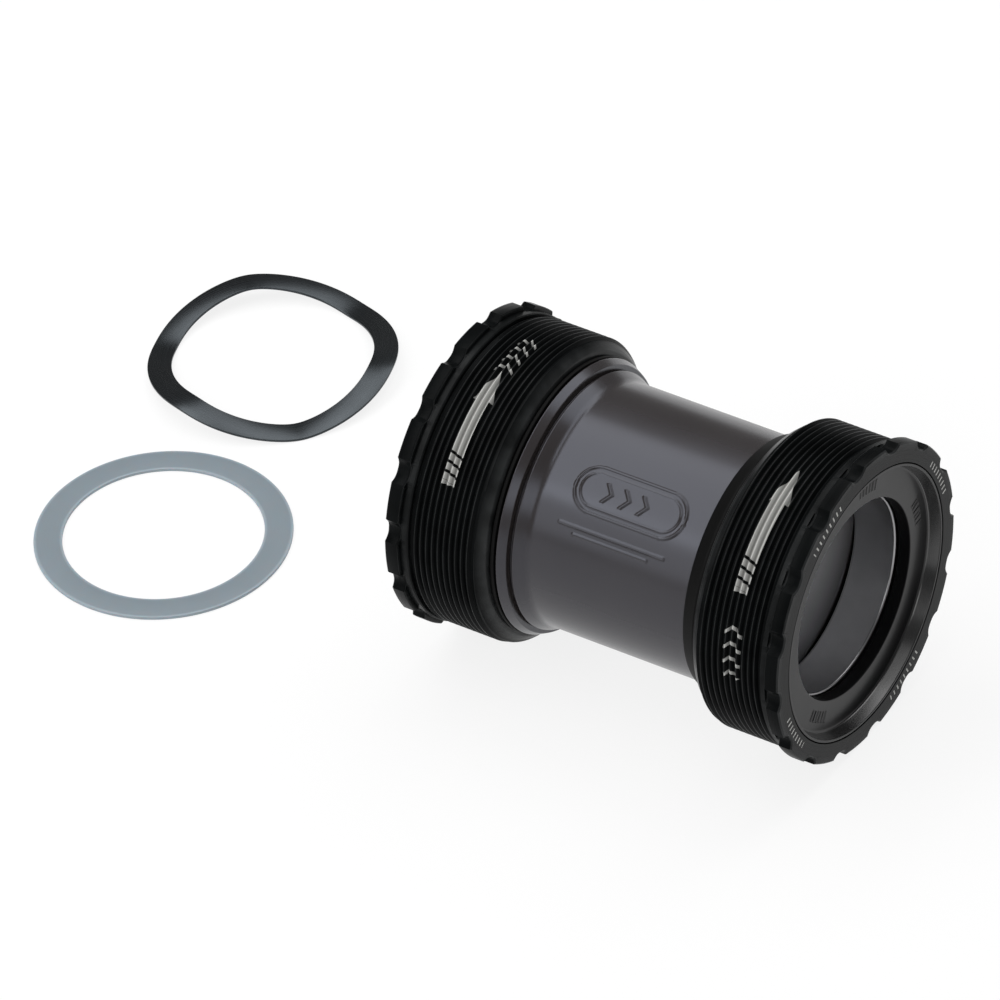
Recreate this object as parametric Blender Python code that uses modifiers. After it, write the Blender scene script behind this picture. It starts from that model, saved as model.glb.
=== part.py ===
"""Bicycle bottom bracket for a 30 mm spindle, with its wave washer and spacer ring.

Two threaded cups sit on the ends of a plastic centre sleeve.  Each cup holds a sealed
ball bearing behind a dished cover, and a rubber seal closes the gap to the sleeve.  The
bracket lies on its two flanges with its axis along X, and the two loose rings lie flat
beside its drive side.  Units are metres, +Z is up.
"""

import math

import bmesh
import bpy
from mathutils import Matrix

MM = 0.001

# Bracket as a whole
LENGTH = 66.8 * MM
FIT_GAP = 0.3 * MM

# Bearing, 30 x 42 x 7, with its balls, cage and rubber shields
BEARING_BORE_R = 15.0 * MM
BEARING_SECTION = 6.0 * MM
BEARING_WIDTH = 7.0 * MM
BEARING_DEPTH = 4.3 * MM
RACE_WALL = 1.8 * MM
RACE_CHAMFER = 0.3 * MM
BALL_R = 1.5875 * MM
BALL_COUNT = 18
CAGE_FINGER = 0.9 * MM
SHIELD_T = 0.5 * MM
SHIELD_INSET = 0.3 * MM

# Cup: flange with tool notches, collar, threaded barrel and chamfered nose
FLANGE_STEP = 0.75 * MM
FLANGE_T = 2.2 * MM
EDGE_CHAMFER = 0.2 * MM
NOTCH_COUNT = 16
NOTCH_WIDTH = 3.4 * MM
NOTCH_DEPTH = 1.35 * MM
NOTCH_CORNER_R = 0.9 * MM
NOTCH_OVERRUN = 0.4 * MM
DRIVE_NOTCH_TURN = math.radians(10.0)
NON_DRIVE_NOTCH_TURN = math.radians(1.4)
COLLAR_STEP = 0.2 * MM
COLLAR_LENGTH = 1.3 * MM
CUP_WALL = 2.2 * MM
THREAD_DEPTH = 0.55 * MM
THREAD_PITCH = 1.0 * MM
THREAD_TURNS = 11
NOSE_LENGTH = 1.3 * MM
NOSE_WALL = 1.25 * MM

# Dished cover over the bearing
COVER_CLEARANCE = 0.35 * MM
COVER_DISH_DEPTH = 2.0 * MM
COVER_DISH_SLOPE = 0.65 * MM
COVER_RIM_DEPTH = 0.1 * MM
COVER_RIM_WIDTH = 0.25 * MM
COVER_LIP_R = 0.35 * MM

# Centre sleeve, with two ribs and a flare at its drive-side end
SPINDLE_CLEARANCE = 2.4 * MM
SLEEVE_WALL = 1.45 * MM
SLEEVE_END_GAP = 1.6 * MM
RIB_START = 1.2 * MM
FIRST_RIB_HEIGHT = 2.4 * MM
FIRST_RIB_SLOPE = 0.5 * MM
FIRST_RIB_LENGTH = 1.0 * MM
RIB_GROOVE_HEIGHT = 1.45 * MM
RIB_GROOVE_LENGTH = 0.2 * MM
SECOND_RIB_HEIGHT = 1.6 * MM
SECOND_RIB_LENGTH = 0.2 * MM
RIB_RAMP = 0.25 * MM
FLARE_LENGTH = 3.2 * MM
FLARE_CURVE = ((0.42, 0.14), (0.16, 0.5))

# Rubber seals between the cups and the sleeve
SEAL_WALL = 1.15 * MM
SEAL_ENGAGEMENT = 1.2 * MM
WIPER_REACH = 3.1 * MM
WIPER_TAPER = 2.0 * MM
WIPER_TIP_WALL = 0.4 * MM

# Loose rings that fit the spindle, laid beside the drive side
SPACER_CLEARANCE = 0.1 * MM
SPACER_WIDTH = 4.3 * MM
SPACER_T = 0.5 * MM
SPACER_EDGE = 0.12 * MM
SPACER_END_GAP = 29.18 * MM
SPACER_Y = -13.17 * MM
WAVE_CLEARANCE = 0.4 * MM
WAVE_WIDTH = 3.7 * MM
WAVE_T = 0.4 * MM
WAVE_DOME = 0.18 * MM
WAVE_HEIGHT = 2.48 * MM
WAVE_SHARPNESS = 0.94
WAVE_COUNT = 3
WAVE_TURN = math.radians(16.1)
RING_GAP = 4.127 * MM
RING_DIRECTION = math.radians(101.07)

# Facets of round shapes
CUP_SEGMENTS = 36
BEARING_SEGMENTS = 24
CAGE_SEGMENTS = 36
POCKET_SIDES = 10
GROOVE_POINTS = 5
LIP_POINTS = 3
CORNER_FACETS = 3
ROUND_PROFILE = 0.5
BALL_SUBDIVISIONS = 2
RING_SEGMENTS = 40
WAVE_SEGMENTS = 60
MERGE_DISTANCE = 0.00001
SHARP_ANGLE = math.radians(35)

# Bearing sizes that follow
BEARING_OUTER_R = BEARING_BORE_R + BEARING_SECTION
BEARING_MID = -(BEARING_DEPTH + BEARING_WIDTH / 2)
PITCH_R = (BEARING_BORE_R + BEARING_OUTER_R) / 2
GROOVE_R = BALL_R + FIT_GAP
INNER_LAND_R = BEARING_BORE_R + RACE_WALL
OUTER_LAND_R = BEARING_OUTER_R - RACE_WALL
SHIELD_MID = BEARING_WIDTH / 2 - SHIELD_INSET - SHIELD_T / 2

# Sleeve sizes that follow
HALF_LENGTH = LENGTH / 2
SLEEVE_BORE_R = BEARING_BORE_R + SPINDLE_CLEARANCE
SLEEVE_R = SLEEVE_BORE_R + SLEEVE_WALL
SLEEVE_END = HALF_LENGTH - (BEARING_DEPTH + BEARING_WIDTH + SLEEVE_END_GAP)
FIRST_RIB_R = SLEEVE_R + FIRST_RIB_HEIGHT
RIB_GROOVE_R = SLEEVE_R + RIB_GROOVE_HEIGHT
SECOND_RIB_R = SLEEVE_R + SECOND_RIB_HEIGHT
SEAL_BORE_R = SLEEVE_R + FIT_GAP
SEAL_OUTER_R = SEAL_BORE_R + SEAL_WALL

# Cup sizes that follow
POCKET_R = BEARING_OUTER_R + FIT_GAP
SHOULDER_DEPTH = BEARING_DEPTH + BEARING_WIDTH + FIT_GAP
THREAD_R = POCKET_R + CUP_WALL
COLLAR_R = THREAD_R + COLLAR_STEP
FLANGE_R = COLLAR_R + FLANGE_STEP
CUP_DEPTH = FLANGE_T + COLLAR_LENGTH + THREAD_TURNS * THREAD_PITCH + NOSE_LENGTH
NOSE_BORE_R = SEAL_OUTER_R + FIT_GAP
NOSE_END_R = NOSE_BORE_R + NOSE_WALL
NOSE_X = HALF_LENGTH - CUP_DEPTH
COVER_OUTER_R = POCKET_R - FIT_GAP
COVER_BORE_R = BEARING_BORE_R + COVER_CLEARANCE
COVER_DISH_R = COVER_OUTER_R - COVER_RIM_WIDTH - COVER_DISH_SLOPE

# Loose rings' sizes and places, from the bracket's centre
SPACER_BORE_R = BEARING_BORE_R + SPACER_CLEARANCE
SPACER_R = SPACER_BORE_R + SPACER_WIDTH
WAVE_BORE_R = BEARING_BORE_R + WAVE_CLEARANCE
WAVE_R = WAVE_BORE_R + WAVE_WIDTH
SPACER_X = -(HALF_LENGTH + SPACER_END_GAP + SPACER_R)
RING_STEP = SPACER_R + RING_GAP + WAVE_R
WAVE_X = SPACER_X + RING_STEP * math.cos(RING_DIRECTION)
WAVE_Y = SPACER_Y + RING_STEP * math.sin(RING_DIRECTION)

# The bracket's centre, from the middle of the floor under the whole set
X_LOW = min(-HALF_LENGTH, SPACER_X - SPACER_R, WAVE_X - WAVE_R)
X_HIGH = max(HALF_LENGTH, SPACER_X + SPACER_R, WAVE_X + WAVE_R)
Y_LOW = min(-FLANGE_R, SPACER_Y - SPACER_R, WAVE_Y - WAVE_R)
Y_HIGH = max(FLANGE_R, SPACER_Y + SPACER_R, WAVE_Y + WAVE_R)
BRACKET_X = -(X_LOW + X_HIGH) / 2
BRACKET_Y = -(Y_LOW + Y_HIGH) / 2

# Finishes: colour, roughness, metallic
FINISHES = {
    "anodised": ((0.018, 0.018, 0.019), 0.32, 0.6),
    "cover_plastic": ((0.012, 0.012, 0.013), 0.38, 0.0),
    "sleeve_plastic": ((0.115, 0.108, 0.108), 0.42, 0.0),
    "seal_rubber": ((0.008, 0.008, 0.008), 0.7, 0.0),
    "shield_rubber": ((0.03, 0.03, 0.03), 0.65, 0.0),
    "bearing_steel": ((0.55, 0.55, 0.56), 0.22, 1.0),
    "cage_nylon": ((0.32, 0.28, 0.2), 0.5, 0.0),
    "spring_steel": ((0.09, 0.1, 0.11), 0.35, 0.8),
    "spacer_plastic": ((0.235, 0.292, 0.332), 0.5, 0.0),
}


def clear_scene():
    """Remove every object that is already there."""
    for obj in list(bpy.data.objects):
        bpy.data.objects.remove(obj, do_unlink=True)


def new_collection(name):
    """Make a collection in the scene and return it."""
    collection = bpy.data.collections.new(name)
    bpy.context.scene.collection.children.link(collection)
    return collection


def finish_material(name, finish):
    """Make a Principled material for one piece from the table of finishes."""
    colour, roughness, metallic = FINISHES[finish]
    material = bpy.data.materials.new(name)
    material.use_nodes = True
    shader = material.node_tree.nodes["Principled BSDF"]
    shader.inputs["Base Color"].default_value = (*colour, 1.0)
    shader.inputs["Roughness"].default_value = roughness
    shader.inputs["Metallic"].default_value = metallic
    return material


def add_empty(name, parent=None, location=(0, 0, 0), rotation=(0, 0, 0)):
    """Add a reference axis that other objects are parented to."""
    empty = bpy.data.objects.new(name, None)
    parts.objects.link(empty)
    empty.parent = parent
    empty.location = location
    empty.rotation_euler = rotation
    return empty


def add_part(name, mesh, finish, parent=None, location=(0, 0, 0)):
    """Add one piece of the assembly, with its own material."""
    obj = bpy.data.objects.new(name, mesh)
    parts.objects.link(obj)
    if not mesh.materials:
        mesh.materials.append(finish_material(name, finish))
    obj.parent = parent
    obj.location = location
    return obj


def arc(centre, radius, start, end, points):
    """Points along an arc in the profile plane, from one angle to another."""
    step = (end - start) / (points - 1)
    angles = [start + step * i for i in range(points)]
    return [(centre[0] + radius * math.cos(a), centre[1] + radius * math.sin(a)) for a in angles]


def profile_mesh(name, loop):
    """A closed profile in the XZ plane, from (radius, height) pairs."""
    mesh = bpy.data.meshes.new(name)
    vertices = [(radius, 0, height) for radius, height in loop]
    edges = [(i, (i + 1) % len(loop)) for i in range(len(loop))]
    mesh.from_pydata(vertices, edges, [])
    return mesh


def freeze(obj):
    """Turn an object's modifiers into plain mesh, smooth except at its corners."""
    graph = bpy.context.evaluated_depsgraph_get()
    mesh = bpy.data.meshes.new_from_object(obj.evaluated_get(graph))
    obj.modifiers.clear()
    obj.data = mesh
    mesh.name = obj.name
    mesh.shade_smooth()
    mesh.set_sharp_from_angle(angle=SHARP_ANGLE)


def cut(obj, cutter):
    """Cut one piece with a hidden tool shape."""
    boolean = obj.modifiers.new("cut", "BOOLEAN")
    boolean.operation = "DIFFERENCE"
    boolean.solver = "EXACT"
    boolean.object = cutter


def turned(name, loop, segments, finish, parent=None, location=(0, 0, 0), cutter=None):
    """A ring turned about its own Z axis, from a profile that runs down its outer side."""
    obj = add_part(name, profile_mesh(name, loop), finish, parent, location)
    screw = obj.modifiers.new("turn", "SCREW")
    screw.axis = "Z"
    screw.angle = 2 * math.pi
    screw.steps = segments
    screw.render_steps = segments
    screw.use_merge_vertices = True
    screw.merge_threshold = MERGE_DISTANCE
    if cutter is not None:
        cut(obj, cutter)
    freeze(obj)
    return obj


def add_cutter(name, mesh, parent, location=(0, 0, 0)):
    """Add a hidden tool shape for a cut."""
    obj = bpy.data.objects.new(name, mesh)
    cutters.objects.link(obj)
    obj.parent = parent
    obj.location = location
    obj.hide_render = True
    obj.display_type = "WIRE"
    return obj


def notch_cutter(name, side, turn):
    """Round-cornered slots around the flange for the fitting tool."""
    floor_r = FLANGE_R - NOTCH_DEPTH
    outer_r = FLANGE_R + NOTCH_DEPTH
    height = FLANGE_T + 2 * NOTCH_OVERRUN
    shape = bmesh.new()
    for index in range(NOTCH_COUNT):
        spin = Matrix.Rotation(turn + index * 2 * math.pi / NOTCH_COUNT, 4, "Z")
        place = Matrix.Translation(((floor_r + outer_r) / 2, 0, -FLANGE_T / 2))
        size = Matrix.Diagonal((outer_r - floor_r, NOTCH_WIDTH, height, 1))
        box = bmesh.ops.create_cube(shape, size=1, matrix=place @ size)
        corners = [
            edge
            for edge in {edge for vertex in box["verts"] for edge in vertex.link_edges}
            if all(vertex.co.x < (floor_r + outer_r) / 2 for vertex in edge.verts)
            and abs(edge.verts[0].co.z - edge.verts[1].co.z) > height / 2
        ]
        rounded = bmesh.ops.bevel(
            shape,
            geom=corners,
            offset=NOTCH_CORNER_R,
            segments=CORNER_FACETS,
            profile=ROUND_PROFILE,
            affect="EDGES",
        )
        new_vertices = set(box["verts"]) | set(rounded["verts"])
        bmesh.ops.transform(shape, matrix=spin, verts=[v for v in new_vertices if v.is_valid])
    mesh = bpy.data.meshes.new(name)
    shape.to_mesh(mesh)
    shape.free()
    return add_cutter(name, mesh, side)


def thread_profile():
    """Crests and roots down the barrel of a cup, from the collar to the nose."""
    start = FLANGE_T + COLLAR_LENGTH
    root_r = THREAD_R - THREAD_DEPTH
    points = [(root_r, -start)]
    for turn in range(THREAD_TURNS):
        depth = start + turn * THREAD_PITCH
        points.append((THREAD_R, -(depth + THREAD_PITCH / 2)))
        points.append((root_r, -(depth + THREAD_PITCH)))
    return points


def make_cup(name, side, turn):
    """Threaded cup: notched flange, collar, thread, nose, and the pocket for the bearing."""
    loop = [
        (FLANGE_R - EDGE_CHAMFER, 0),
        (FLANGE_R, -EDGE_CHAMFER),
        (FLANGE_R, -FLANGE_T),
        (COLLAR_R, -FLANGE_T),
        (COLLAR_R, -(FLANGE_T + COLLAR_LENGTH)),
        *thread_profile(),
        (NOSE_END_R, -CUP_DEPTH),
        (NOSE_BORE_R, -CUP_DEPTH),
        (NOSE_BORE_R, -SHOULDER_DEPTH),
        (POCKET_R, -SHOULDER_DEPTH),
        (POCKET_R, 0),
    ]
    cutter = notch_cutter(name + "_notches", side, turn)
    turned(name, loop, CUP_SEGMENTS, "anodised", side, cutter=cutter)


def make_outer_race(name, side):
    """Outer bearing ring with the ball groove on its inside."""
    half = BEARING_WIDTH / 2
    outer = BEARING_OUTER_R
    reach = math.acos((OUTER_LAND_R - PITCH_R) / GROOVE_R)
    loop = [
        (outer - RACE_CHAMFER, half),
        (outer, half - RACE_CHAMFER),
        (outer, RACE_CHAMFER - half),
        (outer - RACE_CHAMFER, -half),
        (OUTER_LAND_R, -half),
        *arc((PITCH_R, 0), GROOVE_R, -reach, reach, GROOVE_POINTS),
        (OUTER_LAND_R, half),
    ]
    turned(name, loop, BEARING_SEGMENTS, "bearing_steel", side, (0, 0, BEARING_MID))


def make_inner_race(name, side):
    """Inner bearing ring, bored for the spindle, with the ball groove on its outside."""
    half = BEARING_WIDTH / 2
    bore = BEARING_BORE_R
    reach = math.acos((PITCH_R - INNER_LAND_R) / GROOVE_R)
    loop = [
        (INNER_LAND_R, half),
        *arc((PITCH_R, 0), GROOVE_R, math.pi - reach, math.pi + reach, GROOVE_POINTS),
        (INNER_LAND_R, -half),
        (bore + RACE_CHAMFER, -half),
        (bore, RACE_CHAMFER - half),
        (bore, half - RACE_CHAMFER),
        (bore + RACE_CHAMFER, half),
    ]
    turned(name, loop, BEARING_SEGMENTS, "bearing_steel", side, (0, 0, BEARING_MID))


def ball_angle(index):
    """Angle of one ball around the bearing."""
    return index * 2 * math.pi / BALL_COUNT


def pocket_cutter(name, side):
    """Radial drillings through the cage, one for each ball."""
    length = 2 * (OUTER_LAND_R - INNER_LAND_R)
    shape = bmesh.new()
    lay_down = Matrix.Rotation(math.pi / 2, 4, "Y")
    for index in range(BALL_COUNT):
        spin = Matrix.Rotation(ball_angle(index), 4, "Z")
        place = Matrix.Translation((PITCH_R, 0, 0))
        bmesh.ops.create_cone(
            shape,
            cap_ends=True,
            segments=POCKET_SIDES,
            radius1=GROOVE_R,
            radius2=GROOVE_R,
            depth=length,
            matrix=spin @ place @ lay_down,
        )
    mesh = bpy.data.meshes.new(name)
    shape.to_mesh(mesh)
    shape.free()
    return add_cutter(name, mesh, side, (0, 0, BEARING_MID))


def make_cage(name, side):
    """Crown cage: a rim behind the balls, with fingers between them."""
    inner = INNER_LAND_R + FIT_GAP
    outer = OUTER_LAND_R - FIT_GAP
    back = -(SHIELD_MID - SHIELD_T / 2 - FIT_GAP)
    loop = [(outer, CAGE_FINGER), (outer, back), (inner, back), (inner, CAGE_FINGER)]
    cutter = pocket_cutter(name + "_pockets", side)
    turned(name, loop, CAGE_SEGMENTS, "cage_nylon", side, (0, 0, BEARING_MID), cutter)


def make_balls(prefix, side):
    """The bearing's balls, which share one mesh."""
    shape = bmesh.new()
    bmesh.ops.create_icosphere(shape, subdivisions=BALL_SUBDIVISIONS, radius=BALL_R)
    mesh = bpy.data.meshes.new(prefix + "ball")
    shape.to_mesh(mesh)
    shape.free()
    mesh.shade_smooth()
    for index in range(BALL_COUNT):
        angle = ball_angle(index)
        place = (PITCH_R * math.cos(angle), PITCH_R * math.sin(angle), BEARING_MID)
        add_part(f"{prefix}ball_{index + 1:02d}", mesh, "bearing_steel", side, place)


def make_shield(name, side, centre):
    """Thin rubber seal between the two bearing rings."""
    inner = INNER_LAND_R + FIT_GAP
    outer = OUTER_LAND_R - FIT_GAP
    half = SHIELD_T / 2
    loop = [(outer, half), (outer, -half), (inner, -half), (inner, half)]
    turned(name, loop, BEARING_SEGMENTS, "shield_rubber", side, (0, 0, BEARING_MID + centre))


def make_cover(name, side):
    """Dished cover in the mouth of the cup, with a rounded edge around the spindle hole."""
    back = -(BEARING_DEPTH - FIT_GAP)
    lip = (COVER_BORE_R + COVER_LIP_R, -(COVER_DISH_DEPTH + COVER_LIP_R))
    loop = [
        (COVER_OUTER_R, -COVER_RIM_DEPTH),
        (COVER_OUTER_R, back),
        (COVER_BORE_R, back),
        *arc(lip, COVER_LIP_R, math.pi, math.pi / 2, LIP_POINTS),
        (COVER_DISH_R, -COVER_DISH_DEPTH),
        (COVER_OUTER_R - COVER_RIM_WIDTH, -COVER_RIM_DEPTH),
    ]
    turned(name, loop, CUP_SEGMENTS, "cover_plastic", side)


def make_bearing_side(prefix, side, turn):
    """Everything that one cup carries."""
    make_cup(prefix + "cup", side, turn)
    make_outer_race(prefix + "outer_race", side)
    make_inner_race(prefix + "inner_race", side)
    make_cage(prefix + "cage", side)
    make_balls(prefix, side)
    make_shield(prefix + "outboard_shield", side, SHIELD_MID)
    make_shield(prefix + "inboard_shield", side, -SHIELD_MID)
    make_cover(prefix + "cover", side)


def make_drive_seal(side):
    """Seal with a lip that is held between the cup's nose and the sleeve's first rib."""
    nose = -CUP_DEPTH
    loop = [
        (SEAL_OUTER_R, nose + SEAL_ENGAGEMENT),
        (SEAL_OUTER_R, nose - FIT_GAP),
        (FIRST_RIB_R, nose - FIT_GAP),
        (FIRST_RIB_R, nose - RIB_START + FIT_GAP),
        (SEAL_BORE_R, nose - RIB_START + FIT_GAP),
        (SEAL_BORE_R, nose + SEAL_ENGAGEMENT),
    ]
    turned("drive_sleeve_seal", loop, CUP_SEGMENTS, "seal_rubber", side)


def make_non_drive_seal(side):
    """Seal that narrows to a wiping lip around the plain end of the sleeve."""
    nose = -CUP_DEPTH
    tip = nose - WIPER_REACH
    loop = [
        (SEAL_OUTER_R, nose + SEAL_ENGAGEMENT),
        (SEAL_OUTER_R, tip + WIPER_TAPER),
        (SEAL_BORE_R + WIPER_TIP_WALL, tip),
        (SEAL_BORE_R, tip),
        (SEAL_BORE_R, nose + SEAL_ENGAGEMENT),
    ]
    turned("non_drive_sleeve_seal", loop, CUP_SEGMENTS, "seal_rubber", side)


def make_sleeve(axis):
    """Plastic tube between the cups, flared to two ribs beside the drive-side cup."""
    rib = -NOSE_X + RIB_START
    groove = rib + FIRST_RIB_LENGTH + RIB_RAMP
    second = groove + RIB_GROOVE_LENGTH + RIB_RAMP
    second_end = second + SECOND_RIB_LENGTH
    flare = [
        (SLEEVE_R + rise * SECOND_RIB_HEIGHT, second_end + run * FLARE_LENGTH)
        for run, rise in FLARE_CURVE
    ]
    loop = [
        (SLEEVE_R, SLEEVE_END),
        (SLEEVE_R, second_end + FLARE_LENGTH),
        *flare,
        (SECOND_RIB_R, second_end),
        (SECOND_RIB_R, second),
        (RIB_GROOVE_R, second - RIB_RAMP),
        (RIB_GROOVE_R, groove),
        (FIRST_RIB_R - FIRST_RIB_SLOPE, groove - RIB_RAMP),
        (FIRST_RIB_R, rib),
        (SLEEVE_R, rib),
        (SLEEVE_R, -SLEEVE_END),
        (SLEEVE_BORE_R, -SLEEVE_END),
        (SLEEVE_BORE_R, SLEEVE_END),
    ]
    turned("centre_sleeve", loop, CUP_SEGMENTS, "sleeve_plastic", axis)


def make_spacer():
    """Flat plastic spacer ring with eased edges."""
    edge = SPACER_EDGE
    loop = [
        (SPACER_R - edge, SPACER_T),
        (SPACER_R, SPACER_T - edge),
        (SPACER_R, edge),
        (SPACER_R - edge, 0),
        (SPACER_BORE_R + edge, 0),
        (SPACER_BORE_R, edge),
        (SPACER_BORE_R, SPACER_T - edge),
        (SPACER_BORE_R + edge, SPACER_T),
    ]
    place = (BRACKET_X + SPACER_X, BRACKET_Y + SPACER_Y, 0)
    turned("spacer_ring", loop, RING_SEGMENTS, "spacer_plastic", None, place)


def make_wave_washer():
    """Spring washer: a slightly domed ring bent into waves around its turn."""
    top = WAVE_DOME + WAVE_T
    loop = [(WAVE_R, WAVE_T), (WAVE_R, 0), (WAVE_BORE_R, WAVE_DOME), (WAVE_BORE_R, top)]
    place = (BRACKET_X + WAVE_X, BRACKET_Y + WAVE_Y, 0)
    washer = turned("wave_washer", loop, WAVE_SEGMENTS, "spring_steel", None, place)
    for vertex in washer.data.vertices:
        angle = math.atan2(vertex.co.y, vertex.co.x) - WAVE_TURN
        bend = math.asin(WAVE_SHARPNESS * math.cos(WAVE_COUNT * angle))
        vertex.co.z += WAVE_HEIGHT / 2 * (1 + bend / math.asin(WAVE_SHARPNESS))


def main():
    """Build the bracket on its axis, then the loose rings beside it."""
    axis = add_empty(
        "bracket_axis", location=(BRACKET_X, BRACKET_Y, FLANGE_R), rotation=(0, math.pi / 2, 0)
    )
    non_drive = add_empty("non_drive_side", axis, (0, 0, HALF_LENGTH))
    drive = add_empty("drive_side", axis, (0, 0, -HALF_LENGTH), (0, math.pi, 0))
    make_sleeve(axis)
    make_bearing_side("drive_", drive, DRIVE_NOTCH_TURN)
    make_bearing_side("non_drive_", non_drive, NON_DRIVE_NOTCH_TURN)
    make_drive_seal(drive)
    make_non_drive_seal(non_drive)
    make_spacer()
    make_wave_washer()


clear_scene()
parts = new_collection("bottom_bracket")
cutters = new_collection("bottom_bracket_cutters")
main()
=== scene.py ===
"""Looks of a bicycle bottom bracket: two threaded cups on a sleeve, and two loose rings."""

import math

import bmesh
import bpy
import numpy as np
from mathutils import Matrix, Vector


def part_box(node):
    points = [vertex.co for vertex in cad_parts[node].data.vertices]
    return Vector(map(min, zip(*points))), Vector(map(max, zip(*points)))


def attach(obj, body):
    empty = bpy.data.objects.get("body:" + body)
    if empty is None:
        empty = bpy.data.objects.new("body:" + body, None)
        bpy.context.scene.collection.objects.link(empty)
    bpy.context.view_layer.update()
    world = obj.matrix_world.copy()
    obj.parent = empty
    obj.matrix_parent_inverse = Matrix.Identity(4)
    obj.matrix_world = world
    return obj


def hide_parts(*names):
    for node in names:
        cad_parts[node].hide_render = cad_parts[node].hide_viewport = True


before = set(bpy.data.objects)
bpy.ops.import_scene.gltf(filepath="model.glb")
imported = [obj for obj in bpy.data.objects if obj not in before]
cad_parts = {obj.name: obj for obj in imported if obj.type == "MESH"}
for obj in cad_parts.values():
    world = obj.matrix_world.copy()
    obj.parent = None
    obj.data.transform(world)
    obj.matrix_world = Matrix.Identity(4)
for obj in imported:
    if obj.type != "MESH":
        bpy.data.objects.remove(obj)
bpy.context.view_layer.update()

bl_info = {
    "name": "Bottom Bracket",
    "version": (1, 0, 0),
    "blender": (4, 5, 0),
    "location": "3D View > Sidebar > Bracket",
    "description": "Builds a threaded bottom bracket with its bearings, sleeve and loose rings",
    "category": "Add Mesh",
}

MM = 0.001

# Places that the frame gives: the bracket's axis, its two outboard faces and the loose rings
SLEEVE_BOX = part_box("centre_sleeve")
AXIS_Y = (SLEEVE_BOX[0].y + SLEEVE_BOX[1].y) / 2
AXIS_Z = (SLEEVE_BOX[0].z + SLEEVE_BOX[1].z) / 2
FACE_X = {"drive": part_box("drive_cup")[0].x, "non_drive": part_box("non_drive_cup")[1].x}
INWARD = {"drive": 1.0, "non_drive": -1.0}
CENTRE_X = (FACE_X["drive"] + FACE_X["non_drive"]) / 2
HALF_LENGTH = FACE_X["non_drive"] - CENTRE_X
AXIS = Vector((CENTRE_X, AXIS_Y, AXIS_Z))
CUP_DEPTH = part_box("drive_cup")[1].x - FACE_X["drive"]
BEARING_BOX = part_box("drive_outer_race")
BEARING_R = (BEARING_BOX[1].z - BEARING_BOX[0].z) / 2
BEARING_DEPTH = BEARING_BOX[0].x - FACE_X["drive"]
BEARING_WIDTH = BEARING_BOX[1].x - BEARING_BOX[0].x
SPACER_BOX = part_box("spacer_ring")
WASHER_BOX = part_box("wave_washer")

# How finely shapes are divided
ROUND_STEPS = 192
WASHER_STEPS = 2 * ROUND_STEPS
EASE_STEPS = 4
GROOVE_STEPS = 12
NOTCH_STEPS = 5
BALL_SEGMENTS = 28
BALL_RINGS = 16

# How corners are eased, welded and smoothed: an ease takes at most a share of the sides beside it
MOST_EASE = 0.46
STRAIGHT = math.pi - 0.01
SUPPORT = 0.06 * MM
WELD = 0.001 * MM
SHARP_ANGLE = math.radians(32)

# Turn that lays the axis of a flat ring along X, for the patterns that run round it
FLAT_RING = (0.0, math.pi / 2, 0.0)


def size(label, note, millimetres):
    """A length that a user may change."""
    return bpy.props.FloatProperty(
        name=label, description=note, default=millimetres * MM, unit="LENGTH", precision=5
    )


def angle(label, note, degrees):
    """An angle that a user may change."""
    return bpy.props.FloatProperty(
        name=label, description=note, default=math.radians(degrees), subtype="ANGLE"
    )


def colour(label, note, *rgb):
    """A colour that a user may change."""
    return bpy.props.FloatVectorProperty(
        name=label, description=note, default=rgb, size=3, min=0.0, max=1.0, subtype="COLOR"
    )


def count(label, note, number):
    """A number of like features that a user may change."""
    return bpy.props.IntProperty(name=label, description=note, default=number, min=1)


def amount(label, note, value):
    """A plain number that a user may change."""
    return bpy.props.FloatProperty(name=label, description=note, default=value)


class CupSettings(bpy.types.PropertyGroup):
    """Sizes and colours of the two threaded cups."""

    flange_t: size("Flange thickness", "From the outboard face to the shell's face", 2.2)
    pocket_r: size("Pocket radius", "Bore that the bearing sits in", 21.3)
    shoulder: size("Shoulder depth", "Depth of the bearing's pocket", 11.6)
    collar_r: size("Collar radius", "Plain band beside the flange", 23.7)
    collar_length: size("Collar length", "Length of the plain band", 1.3)
    thread_r: size("Thread radius", "Radius over the crests", 23.5)
    thread_depth: size("Thread depth", "Crest to root", 0.55)
    thread_pitch: size("Thread pitch", "One turn of the helix", 1.0)
    thread_length: size("Thread length", "Length along the barrel", 11.0)
    nose_r: size("Nose radius", "Radius at the end of the nose chamfer", 21.85)
    nose_bore_r: size("Nose bore radius", "Bore around the sleeve's seal", 20.6)
    notches: count("Notches", "Tool notches around the flange", 16)
    notch_width: size("Notch width", "Width of a notch's mouth", 4.1)
    notch_depth: size("Notch depth", "Depth in from the flange's edge", 0.95)
    notch_lean: angle("Notch lean", "Slope of a notch's sides", 45.0)
    notch_corner: size("Notch corner", "Radius in the corners of a notch", 1.6)
    lug_corner: size("Lug corner", "Radius at the edges of a lug", 0.35)
    notch_overrun: size("Notch overrun", "How far a notch runs into the collar", 0.4)
    drive_turn: angle("Drive notch angle", "Angle of one notch on the drive side", 12.5)
    non_drive_turn: angle("Non-drive notch angle", "Angle of one notch on the other side", 1.4)
    colour: colour("Anodising", "Colour of the anodised cups", 0.0032, 0.0038, 0.004)
    print_colour: colour("Print", "Colour of the printed marks", 0.52, 0.52, 0.50)


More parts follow.
